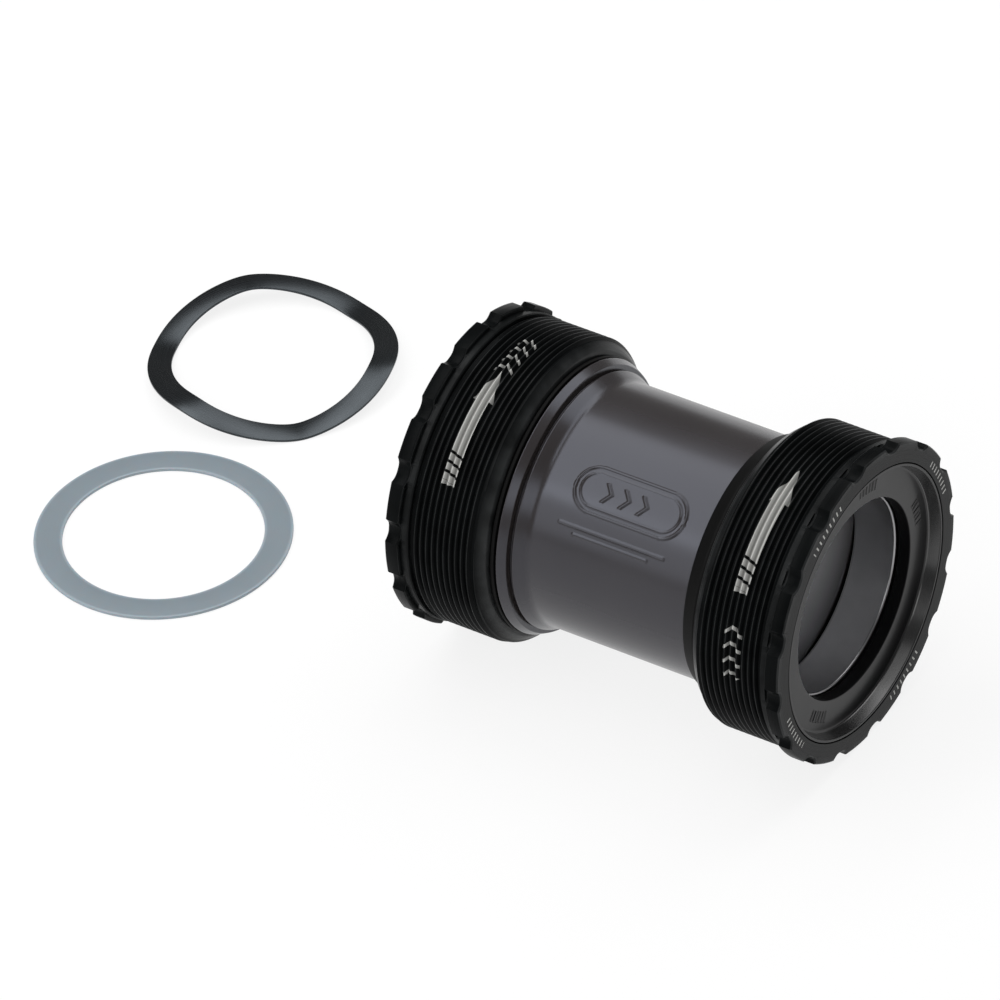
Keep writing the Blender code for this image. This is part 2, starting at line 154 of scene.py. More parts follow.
class CoverSettings(bpy.types.PropertyGroup):
    """Sizes and colour of the dished covers."""

    outer_r: size("Outer radius", "Edge inside the cup's mouth", 21.12)
    rim_depth: size("Rim depth", "How far the rim lies below the cup's face", 0.05)
    rim_r: size("Rim inner radius", "Inner edge of the flat rim", 20.75)
    dish_r: size("Dish radius", "Outer edge of the dish's flat", 20.2)
    tick_r: size("Tick radius", "Middle of the raised ticks on the dish's flat", 17.8)
    tick_length: size("Tick length", "Length of a raised tick", 1.7)
    tick_width: size("Tick width", "Width of a raised tick", 0.42)
    tick_height: size("Tick height", "Height of a raised tick", 0.12)
    ticks: count("Ticks", "Raised ticks in a group", 6)
    dish_depth: size("Dish depth", "Depth of the dish's flat", 2.0)
    bore_r: size("Bore radius", "Hole around the spindle", 15.35)
    back: size("Back depth", "Depth of the face beside the bearing", 4.0)
    colour: colour("Cover", "Colour of the moulded covers", 0.0045, 0.0045, 0.005)


class BearingSettings(bpy.types.PropertyGroup):
    """Sizes and colours of the two ball bearings."""

    bore_r: size("Bore radius", "Bore for the spindle", 15.0)
    race_wall: size("Race wall", "Thickness of a ring at its edge", 1.8)
    chamfer: size("Race chamfer", "Eased edges of the rings", 0.35)
    groove_r: size("Groove radius", "Ball groove in the rings", 1.8875)
    ball_r: size("Ball radius", "Radius of a ball", 1.5875)
    balls: count("Balls", "Balls in one bearing", 18)
    first_ball: angle("First ball", "Angle of the first ball", 10.0)
    shield_t: size("Shield thickness", "Thickness of the rubber shields", 0.5)
    shield_inset: size("Shield inset", "How far a shield lies inside the rings", 0.3)
    shield_gap: size("Shield gap", "Gap between a shield and the rings", 0.3)
    steel: colour("Steel", "Colour of the ground rings and balls", 0.47, 0.47, 0.48)
    rubber: colour("Shield rubber", "Colour of the shields", 0.022, 0.022, 0.022)
    nylon: colour("Cage nylon", "Colour of the ball cages", 0.32, 0.28, 0.2)


class SleeveSettings(bpy.types.PropertyGroup):
    """Sizes and colour of the plastic sleeve between the cups."""

    tube_r: size("Tube radius", "Outside of the plain tube", 18.85)
    bore_r: size("Bore radius", "Inside of the tube", 17.4)
    rib_at: size("Rib position", "Drive-side face of the first rib, from the middle", -16.4)
    rib_r: size("First rib radius", "Edge of the first rib", 21.25)
    rib_slope: size("First rib slope", "Fall of the first rib over its length", 0.7)
    rib_length: size("First rib length", "Length along the sleeve", 1.4)
    groove_r: size("Groove radius", "Bottom of the groove between the ribs", 19.35)
    groove_length: size("Groove length", "Length along the sleeve", 0.35)
    second_r: size("Second rib radius", "Edge of the second rib", 19.95)
    second_length: size("Second rib length", "Length along the sleeve", 2.1)
    ramp: size("Ramp", "Run of the ribs' sides", 0.06)
    flare_r: size("Flare radius", "Round between the second rib and the plain tube", 2.5)
    emboss: size("Emboss height", "Height of the raised lines", 0.15)
    colour: colour("Sleeve", "Colour of the smoky plastic", 0.028, 0.0235, 0.0225)
    # Painted light: the bore is painted pale where light would come through
    painted_bore_colour: colour("Sleeve bore", "Colour inside, where light comes through", 0.72, 0.72, 0.73)


class SealSettings(bpy.types.PropertyGroup):
    """Sizes and colour of the seals between the cups and the sleeve."""

    bore_r: size("Bore radius", "Inside of a seal", 19.15)
    outer_r: size("Outer radius", "Part of a seal inside the cup's nose", 20.3)
    engagement: size("Engagement", "Length inside the cup's nose", 1.2)
    lip_gap: size("Lip gap", "Gap between the nose and the drive-side lip", 0.3)
    lip_end: size("Lip end", "Far face of the drive-side lip, from the nose", 0.9)
    lip_r: size("Lip radius", "Edge of the drive-side lip", 21.25)
    wiper_reach: size("Wiper reach", "Length of the other seal beyond the nose", 3.1)
    wiper_taper: size("Wiper taper", "Length of its narrowing lip", 2.0)
    wiper_wall: size("Wiper wall", "Thickness at the tip of the lip", 0.4)
    colour: colour("Seal", "Colour of the rubber", 0.004, 0.004, 0.004)


class RingSettings(bpy.types.PropertyGroup):
    """Sizes and colours of the two loose rings."""

    spacer_bore_r: size("Spacer bore", "Bore of the spacer", 15.1)
    spacer_edge: size("Spacer edge", "Eased edges of the spacer", 0.12)
    spacer_colour: colour("Spacer", "Colour of the spacer's plastic", 0.196, 0.239, 0.27)
    washer_bore_r: size("Washer bore", "Bore of the wave washer", 15.4)
    washer_t: size("Washer thickness", "Thickness of the washer's strip", 0.4)
    washer_edge: size("Washer edge", "Eased edges of the washer", 0.09)
    washer_dome: size("Washer dome", "Rise from the washer's outer edge to its bore", 0.18)
    waves: count("Waves", "Waves around the washer", 3)
    wave_sharpness: amount("Wave sharpness", "How sharp the bends are, from 0 to 1", 0.94)
    wave_turn: angle("Wave angle", "Angle of one crest", 16.1)
    washer_colour: colour("Washer", "Colour of the dark spring steel", 0.053, 0.059, 0.064)


class StageSettings(bpy.types.PropertyGroup):
    """Camera, floor and light."""

    azimuth: angle("Azimuth", "Camera's turn around the object", 35.338)
    elevation: angle("Elevation", "Camera's height above the horizon", 39.457)
    roll: angle("Roll", "Camera's turn about its own line of sight", -4.022)
    distance: size("Distance", "Camera's distance from the point it looks at", 1639.2)
    target_x: size("Target X", "Point on the floor that the camera looks at", -4.66)
    target_y: size("Target Y", "Point on the floor that the camera looks at", 10.66)
    lens: amount("Lens", "Focal length in millimetres on a 36 mm sensor", 396.0)
    floor: colour("Floor", "Colour of the floor", 0.94, 0.94, 0.94)
    floor_lift: amount("Floor lift", "Share of plain white in the floor as seen", 0.84)
    sky: amount("Sky", "Strength of the light from all round", 0.19)
    overhead: amount("Overhead", "Power of the large light above, in watts", 10.8)
    back: amount("Back", "Power of the light above and behind, in watts", 2.15)
    right: amount("Right", "Power of the light behind and to the right, in watts", 7.2)
    side: amount("Side", "Power of the narrow light above, in watts", 1.35)
    front: amount("Front", "Power of the light at the front left, in watts", 3.2)
    fill: amount("Fill", "Power of the light beside the camera, in watts", 1.1)


class BracketSettings(bpy.types.PropertyGroup):
    """All settings of the bottom bracket."""

    cup: bpy.props.PointerProperty(type=CupSettings, name="Cups")
    cover: bpy.props.PointerProperty(type=CoverSettings, name="Covers")
    bearing: bpy.props.PointerProperty(type=BearingSettings, name="Bearings")
    sleeve: bpy.props.PointerProperty(type=SleeveSettings, name="Sleeve")
    seal: bpy.props.PointerProperty(type=SealSettings, name="Seals")
    ring: bpy.props.PointerProperty(type=RingSettings, name="Rings")
    stage: bpy.props.PointerProperty(type=StageSettings, name="Stage")


def settings():
    """The add-on's settings on the scene."""
    return bpy.context.scene.bracket


class Nodes:
    """Short calls for building one node tree."""

    def __init__(self, tree):
        self.tree = tree

    def plug(self, socket, value):
        """Link a socket, or set its constant."""
        if isinstance(value, bpy.types.NodeSocket):
            self.tree.links.new(value, socket)
        else:
            socket.default_value = value

    def add(self, kind, inputs=None, **settings):
        """Add a node with its settings and inputs."""
        node = self.tree.nodes.new(kind)
        for name, value in settings.items():
            setattr(node, name, value)
        for key, value in (inputs or {}).items():
            self.plug(node.inputs[key], value)
        return node

    def math(self, operation, *values, clamp=False):
        """Add a Math node and return its result."""
        inputs = dict(enumerate(values))
        return self.add("ShaderNodeMath", inputs, operation=operation, use_clamp=clamp).outputs[0]

    def vector(self, operation, *values):
        """Add a Vector Math node and return its vector."""
        inputs = dict(enumerate(values))
        return self.add("ShaderNodeVectorMath", inputs, operation=operation).outputs[0]

    def mix(self, factor, first, second):
        """Mix two colours."""
        inputs = {0: factor, 6: first, 7: second}
        return self.add("ShaderNodeMix", inputs, data_type="RGBA").outputs[2]

    def span(self, value, low, high, to_low, to_high):
        """Map a value from one range to another."""
        inputs = {0: value, 1: low, 2: high, 3: to_low, 4: to_high}
        return self.add("ShaderNodeMapRange", inputs).outputs[0]

    def group(self, name, **inputs):
        """Place a shader group with its own values."""
        node = self.tree.nodes.new("ShaderNodeGroup")
        node.node_tree = bpy.data.node_groups[name]
        for key, value in inputs.items():
            self.plug(node.inputs[key], value)
        return node.outputs


def new_group(name, kind, inputs, outputs):
    """Make a node group with named sockets, and return its nodes and its two ends."""
    tree = bpy.data.node_groups.new(name, kind)
    for label, socket in inputs:
        tree.interface.new_socket(label, in_out="INPUT", socket_type=socket)
    for label, socket in outputs:
        tree.interface.new_socket(label, in_out="OUTPUT", socket_type=socket)
    nodes = Nodes(tree)
    return nodes, nodes.add("NodeGroupInput").outputs, nodes.add("NodeGroupOutput").inputs


# Socket types of the node groups
FLOAT = "NodeSocketFloat"
WHOLE = "NodeSocketInt"
VECTOR = "NodeSocketVector"
GEOMETRY = "NodeSocketGeometry"
MATERIAL = "NodeSocketMaterial"

# Finishes: grain in features per metre, how much broader the mottling is, and the slant of turned lines
ANODISED_GRAIN = 3000.0
MOULDED_GRAIN = 2600.0
STEEL_GRAIN = 2400.0
SLEEVE_GRAIN = 700.0
BROADER = 14.0
LINE_SLANT = 0.61


def make_grain_group():
    """Fine grain and broad mottling, which most finishes share."""
    nodes, given, result = new_group(
        "surface_grain", "ShaderNodeTree",
        [("Vector", VECTOR), ("Scale", FLOAT)],
        [("Fine", FLOAT), ("Broad", FLOAT)],
    )
    fine = {"Vector": given["Vector"], "Scale": given["Scale"], "Detail": 3.0}
    nodes.plug(result["Fine"], nodes.add("ShaderNodeTexNoise", fine).outputs[0])
    wide = nodes.math("DIVIDE", given["Scale"], BROADER)
    broad = {"Vector": given["Vector"], "Scale": wide, "Detail": 2.0}
    nodes.plug(result["Broad"], nodes.add("ShaderNodeTexNoise", broad).outputs[0])


def off_axis(nodes, parts):
    """Distance from the X axis, from a vector's separate parts."""
    y_squared = nodes.math("MULTIPLY", parts[1], parts[1])
    return nodes.math("SQRT", nodes.math("MULTIPLY_ADD", parts[2], parts[2], y_squared))


def from_middle(nodes, vector):
    """Distance along the axis from the bracket's middle, on either side."""
    return nodes.math("ABSOLUTE", nodes.add("ShaderNodeSeparateXYZ", {0: vector}).outputs[0])


def make_turning_group():
    """Fine lines left by turning or moulding, round the X axis of the vector given."""
    nodes, given, result = new_group(
        "turned_lines", "ShaderNodeTree",
        [("Vector", VECTOR), ("Spacing", FLOAT)],
        [("Height", FLOAT)],
    )
    parts = nodes.add("ShaderNodeSeparateXYZ", {0: given["Vector"]}).outputs
    along = nodes.math("ADD", off_axis(nodes, parts), nodes.math("MULTIPLY", parts[0], LINE_SLANT))
    place = nodes.math("DIVIDE", along, given["Spacing"])
    lines = {"W": place, "Scale": 1.0, "Detail": 2.0}
    noise = nodes.add("ShaderNodeTexNoise", lines, noise_dimensions="1D")
    nodes.plug(result["Height"], noise.outputs[0])


def make_exposed_edges_group():
    """Mask over exposed edges, broken up by the grain."""
    nodes, given, result = new_group(
        "edge_wear", "ShaderNodeTree",
        [("Grain", FLOAT), ("Amount", FLOAT)],
        [("Mask", FLOAT)],
    )
    edge = nodes.add("ShaderNodeAttribute", attribute_name="edge").outputs["Fac"]
    broken = nodes.span(given["Grain"], 0.35, 0.65, 0.35, 1.0)
    edge_mask = nodes.math("MULTIPLY", edge, broken)
    nodes.plug(result["Mask"], nodes.math("MULTIPLY", edge_mask, given["Amount"], clamp=True))


# Printed marks on a cup: place from the middle, half width, and angles in degrees
MARKS_AT = 24.8 * MM
MARK_HALF_WIDTH = 1.65 * MM
MARK_ANGLES = {
    "drive": {
        "Arrow Start": 146.7, "Arrow Sweep": 47.0, "Chevron Start": 97.0, "Chevron Sweep": 21.0,
    },
    "non_drive": {
        "Arrow Start": 146.7, "Arrow Sweep": 50.0, "Chevron Start": 178.0, "Chevron Sweep": 24.0,
    },
}

# Arrow, with shares of its own length and half width
SHAFT_END = 0.7
SHAFT_HALF = 0.66
SLIT_SLANT = 0.028
SLIT_PITCH = 0.075
SLIT_SHARE = 0.3
SLIT_SPAN = (0.02, 0.25)

# Chevrons, with shares of their row and half width
CHEVRONS = 4.0
CHEVRON_SLOPE = 0.16
CHEVRON_SHARE = 0.24
CHEVRON_HALF = 0.9

# Ticks on the flange's face: groups and ticks for each radian, and the band that they fill
FLANGE_GROUP_RATE = 0.6366
FLANGE_GROUP_SHIFT = 0.2333
FLANGE_GROUP_HALF = 0.125
FLANGE_TICK_RATE = 22.5
FLANGE_TICK_SHARE = 0.26
FLANGE_TICK_BAND = (22.0 * MM, 22.95 * MM)
FACE_MARGIN = 0.06 * MM


def make_print_group():
    """Plain printed marks on a cup: an arrow, chevrons and flange ticks."""
    nodes, given, result = new_group(
        "printed_marks", "ShaderNodeTree",
        [("Vector", VECTOR), ("Along", FLOAT), ("Arrow Start", FLOAT), ("Arrow Sweep", FLOAT),
         ("Chevron Start", FLOAT), ("Chevron Sweep", FLOAT), ("Face", FLOAT)],
        [("Mask", FLOAT)],
    )
    parts = nodes.add("ShaderNodeSeparateXYZ", {0: given["Vector"]}).outputs
    turn = nodes.math("ARCTAN2", parts[2], parts[1])
    aside = nodes.math("SUBTRACT", parts[0], given["Along"])
    across = nodes.math("DIVIDE", aside, MARK_HALF_WIDTH)
    off = nodes.math("ABSOLUTE", across)

    def share(start, sweep):
        """How far round a mark a point lies, from 0 to 1."""
        return nodes.math("DIVIDE", nodes.math("SUBTRACT", start, turn), sweep)

    def between(value, low, high):
        """One where a value lies between two others."""
        above = nodes.math("GREATER_THAN", value, low)
        return nodes.math("MULTIPLY", above, nodes.math("LESS_THAN", value, high))

    def repeat(value, rate, part):
        """One over the first part of each repeat of a value."""
        return nodes.math("LESS_THAN", nodes.math("FRACT", nodes.math("MULTIPLY", value, rate)), part)

    def all_of(*masks):
        """One where every mask is one."""
        product = masks[0]
        for mask in masks[1:]:
            product = nodes.math("MULTIPLY", product, mask)
        return product

    run = share(given["Arrow Start"], given["Arrow Sweep"])
    slanted = nodes.math("MULTIPLY_ADD", across, SLIT_SLANT, run)
    slit = all_of(between(slanted, *SLIT_SPAN), repeat(slanted, 1 / SLIT_PITCH, SLIT_SHARE))
    whole = nodes.math("SUBTRACT", 1.0, slit)
    shaft = all_of(between(run, 0.0, SHAFT_END), nodes.math("LESS_THAN", off, SHAFT_HALF), whole)
    taper = nodes.span(run, SHAFT_END, 1.0, 1.0, 0.0)
    head = all_of(between(run, SHAFT_END, 1.0), nodes.math("LESS_THAN", off, taper))
    hop = share(given["Chevron Start"], given["Chevron Sweep"])
    bent = nodes.math("MULTIPLY_ADD", off, CHEVRON_SLOPE, hop)
    narrow = nodes.math("LESS_THAN", off, CHEVRON_HALF)
    chevron = all_of(repeat(bent, CHEVRONS, CHEVRON_SHARE), between(bent, 0.0, 1.0), narrow)
    marks = nodes.math("MAXIMUM", nodes.math("MAXIMUM", shaft, head), chevron)

    radius = off_axis(nodes, parts)
    on_face = nodes.math("COMPARE", parts[0], given["Face"], FACE_MARGIN)
    group = nodes.math("MULTIPLY_ADD", turn, FLANGE_GROUP_RATE, FLANGE_GROUP_SHIFT)
    aside = nodes.math("ABSOLUTE", nodes.math("SUBTRACT", nodes.math("FRACT", group), 0.5))
    near = nodes.math("LESS_THAN", aside, FLANGE_GROUP_HALF)
    tick = repeat(turn, FLANGE_TICK_RATE, FLANGE_TICK_SHARE)
    ticks = all_of(near, tick, on_face, between(radius, *FLANGE_TICK_BAND))
    nodes.plug(result["Mask"], nodes.math("MAXIMUM", marks, ticks))


def make_thread_tree():
    """Geometry Nodes that wind the thread's rows of a blank into a helix."""
    nodes, given, result = new_group(
        "helical_thread", "GeometryNodeTree",
        [("Blank", GEOMETRY), ("Face", FLOAT), ("Inward", FLOAT), ("Axis", VECTOR),
         ("Start", FLOAT), ("Length", FLOAT), ("Pitch", FLOAT), ("Root Radius", FLOAT),
         ("Depth", FLOAT), ("Run Out", FLOAT), ("Lead In", FLOAT), ("Weld", FLOAT),
         ("Finish", MATERIAL)],
        [("Cup", GEOMETRY)],
    )

    def stored(name):
        """Read a number that the blank carries."""
        return nodes.add("GeometryNodeInputNamedAttribute", {"Name": name}, data_type="FLOAT").outputs[0]

    turn = stored("turn")
    back = nodes.math("SUBTRACT", stored("row"), nodes.math("DIVIDE", turn, 2 * math.pi))
    end = nodes.math("ADD", given["Start"], given["Length"])
    free = nodes.math("MULTIPLY_ADD", back, given["Pitch"], given["Start"])
    depth = nodes.math("MINIMUM", nodes.math("MAXIMUM", free, given["Start"]), end)
    rise = nodes.math("DIVIDE", nodes.math("SUBTRACT", depth, given["Start"]), given["Run Out"])
    fall = nodes.math("DIVIDE", nodes.math("SUBTRACT", end, depth), given["Lead In"])
    whole = nodes.math("MINIMUM", nodes.math("MINIMUM", rise, fall), 1.0)
    height = nodes.math("MULTIPLY", nodes.math("MULTIPLY", stored("height"), whole), given["Depth"])
    radius = nodes.math("ADD", given["Root Radius"], height)
    inset = nodes.math("MULTIPLY_ADD", depth, given["Inward"], given["Face"])
    y = nodes.math("MULTIPLY", radius, nodes.math("COSINE", turn))
    z = nodes.math("MULTIPLY", radius, nodes.math("SINE", turn))
    middle = nodes.add("ShaderNodeSeparateXYZ", {0: given["Axis"]}).outputs
    y = nodes.math("ADD", y, middle[1])
    z = nodes.math("ADD", z, middle[2])
    place = nodes.add("ShaderNodeCombineXYZ", {0: inset, 1: y, 2: z}).outputs[0]
    threaded = nodes.math("GREATER_THAN", stored("threaded"), 0.5)
    moved = nodes.add(
        "GeometryNodeSetPosition",
        {"Geometry": given["Blank"], "Selection": threaded, "Position": place},
    )
    welded = nodes.add(
        "GeometryNodeMergeByDistance", {"Geometry": moved.outputs[0], "Distance": given["Weld"]}
    )
    close_tree(nodes, welded.outputs[0], given["Finish"], result["Cup"])


def make_ring_tree():
    """Geometry Nodes for a ring formed from flat strip, with or without waves."""
    nodes, given, result = new_group(
        "formed_ring", "GeometryNodeTree",
        [("Radius", FLOAT), ("Width", FLOAT), ("Thickness", FLOAT), ("Edge", FLOAT),
         ("Dome", FLOAT), ("Wave Height", FLOAT), ("Waves", WHOLE), ("Wave Angle", FLOAT),
         ("Sharpness", FLOAT), ("Steps", WHOLE), ("Place", VECTOR), ("Finish", MATERIAL)],
        [("Ring", GEOMETRY)],
    )
    circle = nodes.add(
        "GeometryNodeCurvePrimitiveCircle",
        {"Resolution": given["Steps"], "Radius": given["Radius"]},
    )
    point = nodes.add("ShaderNodeSeparateXYZ", {0: nodes.add("GeometryNodeInputPosition").outputs[0]})
    turn = nodes.math("ARCTAN2", point.outputs[1], point.outputs[0])
    phase = nodes.math("MULTIPLY", nodes.math("SUBTRACT", turn, given["Wave Angle"]), given["Waves"])
    bend = nodes.math("MULTIPLY", nodes.math("COSINE", phase), given["Sharpness"])
    bend = nodes.math("ARCSINE", bend)
    bend = nodes.math("DIVIDE", bend, nodes.math("ARCSINE", given["Sharpness"]))
    lift = nodes.math("MULTIPLY_ADD", bend, 0.5, 0.5)
    lift = nodes.math("MULTIPLY", lift, given["Wave Height"])
    body = nodes.math("ADD", given["Thickness"], given["Dome"])
    lift = nodes.math("MULTIPLY_ADD", body, 0.5, lift)
    offset = nodes.add("ShaderNodeCombineXYZ", {2: lift}).outputs[0]
    offset = nodes.vector("ADD", offset, given["Place"])
    path = nodes.add(
        "GeometryNodeSetPosition", {"Geometry": circle.outputs[0], "Offset": offset}
    ).outputs[0]
    path = nodes.add("GeometryNodeSetCurveNormal", {"Curve": path}, mode="Z_UP").outputs[0]
    strip = nodes.add(
        "GeometryNodeCurvePrimitiveQuadrilateral",
        {"Width": given["Width"], "Height": given["Thickness"]},
    ).outputs[0]
    strip = nodes.add(
        "GeometryNodeFilletCurve",
        {"Curve": strip, "Count": EASE_STEPS, "Radius": given["Edge"], "Limit Radius": True},
        mode="POLY",
    ).outputs[0]
    tilt = nodes.math("ARCTAN2", given["Dome"], given["Width"])
    lean = nodes.add("ShaderNodeCombineXYZ", {2: tilt}).outputs[0]
    strip = nodes.add("GeometryNodeTransform", {"Geometry": strip, "Rotation": lean}).outputs[0]
    ring = nodes.add("GeometryNodeCurveToMesh", {"Curve": path, "Profile Curve": strip})
    close_tree(nodes, ring.outputs[0], given["Finish"], result["Ring"])


def make_ball_tree():
    """Geometry Nodes for a ring of balls round the bracket's axis."""
    nodes, given, result = new_group(
        "ball_ring", "GeometryNodeTree",
        [("Balls", WHOLE), ("Ring Radius", FLOAT), ("Ball Radius", FLOAT), ("First", FLOAT),
         ("Place", VECTOR), ("Finish", MATERIAL)],
        [("Balls", GEOMETRY)],
    )
    circle = nodes.add(
        "GeometryNodeMeshCircle", {"Vertices": given["Balls"], "Radius": given["Ring Radius"]}
    ).outputs[0]
    twist = nodes.add("ShaderNodeCombineXYZ", {0: math.pi / 2, 1: given["First"], 2: math.pi / 2})
    circle = nodes.add(
        "GeometryNodeTransform",
        {"Geometry": circle, "Translation": given["Place"], "Rotation": twist.outputs[0]},
    ).outputs[0]
    ball = nodes.add(
        "GeometryNodeMeshUVSphere",
        {"Segments": BALL_SEGMENTS, "Rings": BALL_RINGS, "Radius": given["Ball Radius"]},
    ).outputs[0]
    copies = nodes.add("GeometryNodeInstanceOnPoints", {"Points": circle, "Instance": ball})
    close_tree(nodes, copies.outputs[0], given["Finish"], result["Balls"])


def close_tree(nodes, geometry, finish, result):
    """End a tree in real mesh with its material."""
    real = nodes.add("GeometryNodeRealizeInstances", {"Geometry": geometry}).outputs[0]
    done = nodes.add("GeometryNodeSetMaterial", {"Geometry": real, "Material": finish})
    nodes.plug(result, done.outputs[0])


def make_groups():
    """Build every shared node group once."""
    makers = (
        make_grain_group, make_turning_group, make_exposed_edges_group, make_print_group,
        make_thread_tree, make_ring_tree, make_ball_tree,
    )
    for make in makers:
        make()


def new_material(name, rgb, roughness, metallic=0.0, specular=0.5):
    """Start a material, and return its nodes, its shader and the coordinates of the piece."""
    material = bpy.data.materials.new(name)
    material.use_nodes = True
    nodes = Nodes(material.node_tree)
    shader = material.node_tree.nodes["Principled BSDF"]
    shader.inputs["Base Color"].default_value = (*rgb, 1.0)
    shader.inputs["Roughness"].default_value = roughness
    shader.inputs["Metallic"].default_value = metallic
    shader.inputs["Specular IOR Level"].default_value = specular
    coordinates = nodes.add("ShaderNodeTexCoord").outputs["Object"]
    return material, nodes, shader, coordinates


def centred(nodes, coordinates, centre, rotation=(0.0, 0.0, 0.0)):
    """Coordinates of a piece from its own centre."""
    moved = nodes.add(
        "ShaderNodeMapping", {"Vector": coordinates, "Location": [-value for value in centre]}
    ).outputs[0]
    if any(rotation):
        moved = nodes.add("ShaderNodeMapping", {"Vector": moved, "Rotation": rotation}).outputs[0]
    return moved


def shade(rgb, times, plus=0.0):
    """A colour made lighter or darker, with its alpha."""
    return (*(min(1.0, value * times + plus) for value in rgb), 1.0)


def tint(nodes, rgb, darker, lighter, factor):
    """A colour that drifts between a darker and a lighter shade of itself."""
    drift = nodes.span(factor, 0.3, 0.7, 0.0, 1.0)
    return nodes.mix(drift, shade(rgb, darker), shade(rgb, lighter))


def add_bump(nodes, shader, height, depth):
    """Relief from a height that changes over the surface."""
    inputs = {"Height": height, "Distance": depth, "Strength": 1.0}
    nodes.plug(shader.inputs["Normal"], nodes.add("ShaderNodeBump", inputs).outputs[0])


# Anodised cups: turned lines and their roughness, ink, bare edges that also carry painted highlight on
# the thread's crests, and the coat on the face and on edges
ANODISED_LINES = 0.25 * MM
ANODISED_ROUGH = (0.24, 0.38)
ANODISED_RELIEF = 0.002 * MM
INK_ROUGH = 0.55
ROOT_INK = 0.4
WEAR_AND_HIGHLIGHT_SHARE = 0.25
WEAR_AND_HIGHLIGHT_COLOUR = (0.16, 0.168, 0.17, 1.0)
FACE_COAT = 0.18
EDGE_COAT = 0.25
FACE_DEPTH = 0.05 * MM


def anodised_finish(name, side):
    """Black anodised aluminium with turning lines, worn edges that also carry painted highlight along
    the thread's crests, and printed marks.
    """
    cup = settings().cup
    material, nodes, shader, coordinates = new_material(name, cup.colour, roughness=0.32, specular=0.03)
    vector = centred(nodes, coordinates, AXIS)
    grain = nodes.group("surface_grain", Vector=vector, Scale=ANODISED_GRAIN)
    lines = nodes.group("turned_lines", Vector=vector, Spacing=ANODISED_LINES)["Height"]
    edge_mask = nodes.group("edge_wear", Grain=grain["Broad"], Amount=WEAR_AND_HIGHLIGHT_SHARE)["Mask"]
    base = tint(nodes, cup.colour, 0.75, 1.3, grain["Broad"])
    # Exposed edges are painted lighter: bare-metal wear, and painted highlight along the thread's crests
    base = nodes.mix(edge_mask, base, WEAR_AND_HIGHLIGHT_COLOUR)
    turns = {key: math.radians(value) for key, value in MARK_ANGLES[side].items()}
    marks = nodes.group(
        "printed_marks", Vector=vector, Along=-INWARD[side] * MARKS_AT,
        Face=FACE_X[side] - CENTRE_X, **turns,
    )["Mask"]
    height = nodes.add("ShaderNodeAttribute", attribute_name="height").outputs["Fac"]
    ink = nodes.math("MULTIPLY", marks, nodes.span(height, 0.0, 1.0, ROOT_INK, 1.0))
    base = nodes.mix(ink, base, (*cup.print_colour, 1.0))
    nodes.plug(shader.inputs["Base Color"], base)
    rough = nodes.span(lines, 0.3, 0.7, *ANODISED_ROUGH)
    rough = nodes.math("MAXIMUM", rough, nodes.math("MULTIPLY", ink, INK_ROUGH))
    nodes.plug(shader.inputs["Roughness"], rough)
    edge = nodes.add("ShaderNodeAttribute", attribute_name="edge").outputs["Fac"]
    face = nodes.math("GREATER_THAN", from_middle(nodes, vector), HALF_LENGTH - FACE_DEPTH)
    face_coat = nodes.math("MULTIPLY", face, FACE_COAT)
    edge_coat = nodes.math("MULTIPLY", edge, EDGE_COAT)
    nodes.plug(shader.inputs["Coat Weight"], nodes.math("MAXIMUM", face_coat, edge_coat))
    shader.inputs["Coat Roughness"].default_value = 0.24
    relief = nodes.math("MULTIPLY_ADD", grain["Fine"], 0.35, lines)
    add_bump(nodes, shader, relief, ANODISED_RELIEF)
    return material


def start_moulding(name, rgb, roughness, relief, scale=MOULDED_GRAIN, specular=0.5, wear=0.0):
    """Moulded plastic or rubber: fine spark-eroded grain, faint mottling and, if asked, worn edges."""
    material, nodes, shader, coordinates = new_material(name, rgb, roughness, specular=specular)
    vector = centred(nodes, coordinates, AXIS)
    grain = nodes.group("surface_grain", Vector=vector, Scale=scale)
    base = tint(nodes, rgb, 0.94, 1.06, grain["Broad"])
    if wear:
        edge_mask = nodes.group("edge_wear", Grain=grain["Fine"], Amount=wear)["Mask"]
        base = nodes.mix(edge_mask, base, shade(rgb, 2.2, 0.02))
    rough = nodes.span(grain["Broad"], 0.2, 0.8, roughness - 0.03, roughness + 0.04)
    nodes.plug(shader.inputs["Roughness"], rough)
    nodes.plug(shader.inputs["Base Color"], base)
    add_bump(nodes, shader, grain["Fine"], relief)
    return material, nodes, shader, vector, base


def moulded_finish(*values, **options):
    """A plain moulded material."""
    return start_moulding(*values, **options)[0]


# Cover: where the glossy wall of its dish starts and ends, and the thinner coat on its flat
WALL_FOOT = 0.15 * MM
WALL_TOP = 0.1 * MM
FLAT_DEPTH = 0.05 * MM
FLAT_COAT = 0.36


def cover_finish(name, cover):
    """Satin black moulding, glossier on the wall of its dish."""
    material, nodes, shader, vector, _ = start_moulding(
        name, cover.colour, roughness=0.5, relief=0.0015 * MM, specular=0.06
    )
    outward = from_middle(nodes, vector)
    dish = HALF_LENGTH - cover.dish_depth
    above = nodes.math("GREATER_THAN", outward, dish + WALL_FOOT)
    below = nodes.math("LESS_THAN", outward, HALF_LENGTH - cover.rim_depth - WALL_TOP)
    wall = nodes.math("MULTIPLY", above, below)
    flat = nodes.math("GREATER_THAN", outward, dish - FLAT_DEPTH)
    flat_coat = nodes.math("MULTIPLY", flat, FLAT_COAT)
    nodes.plug(shader.inputs["Coat Weight"], nodes.math("MAXIMUM", wall, flat_coat))
    shader.inputs["Coat Roughness"].default_value = 0.22
    shader.inputs["Coat IOR"].default_value = 1.8
    return material


# Sleeve: how far out from its bore the painted light reaches, where along the bore the painted light
# fades, and its gloss
PAINTED_BORE_REACH = 0.25 * MM
LIT_SPAN = (15 * MM, 21 * MM)
COOL_GLOSS = (0.78, 0.84, 1.0, 1.0)


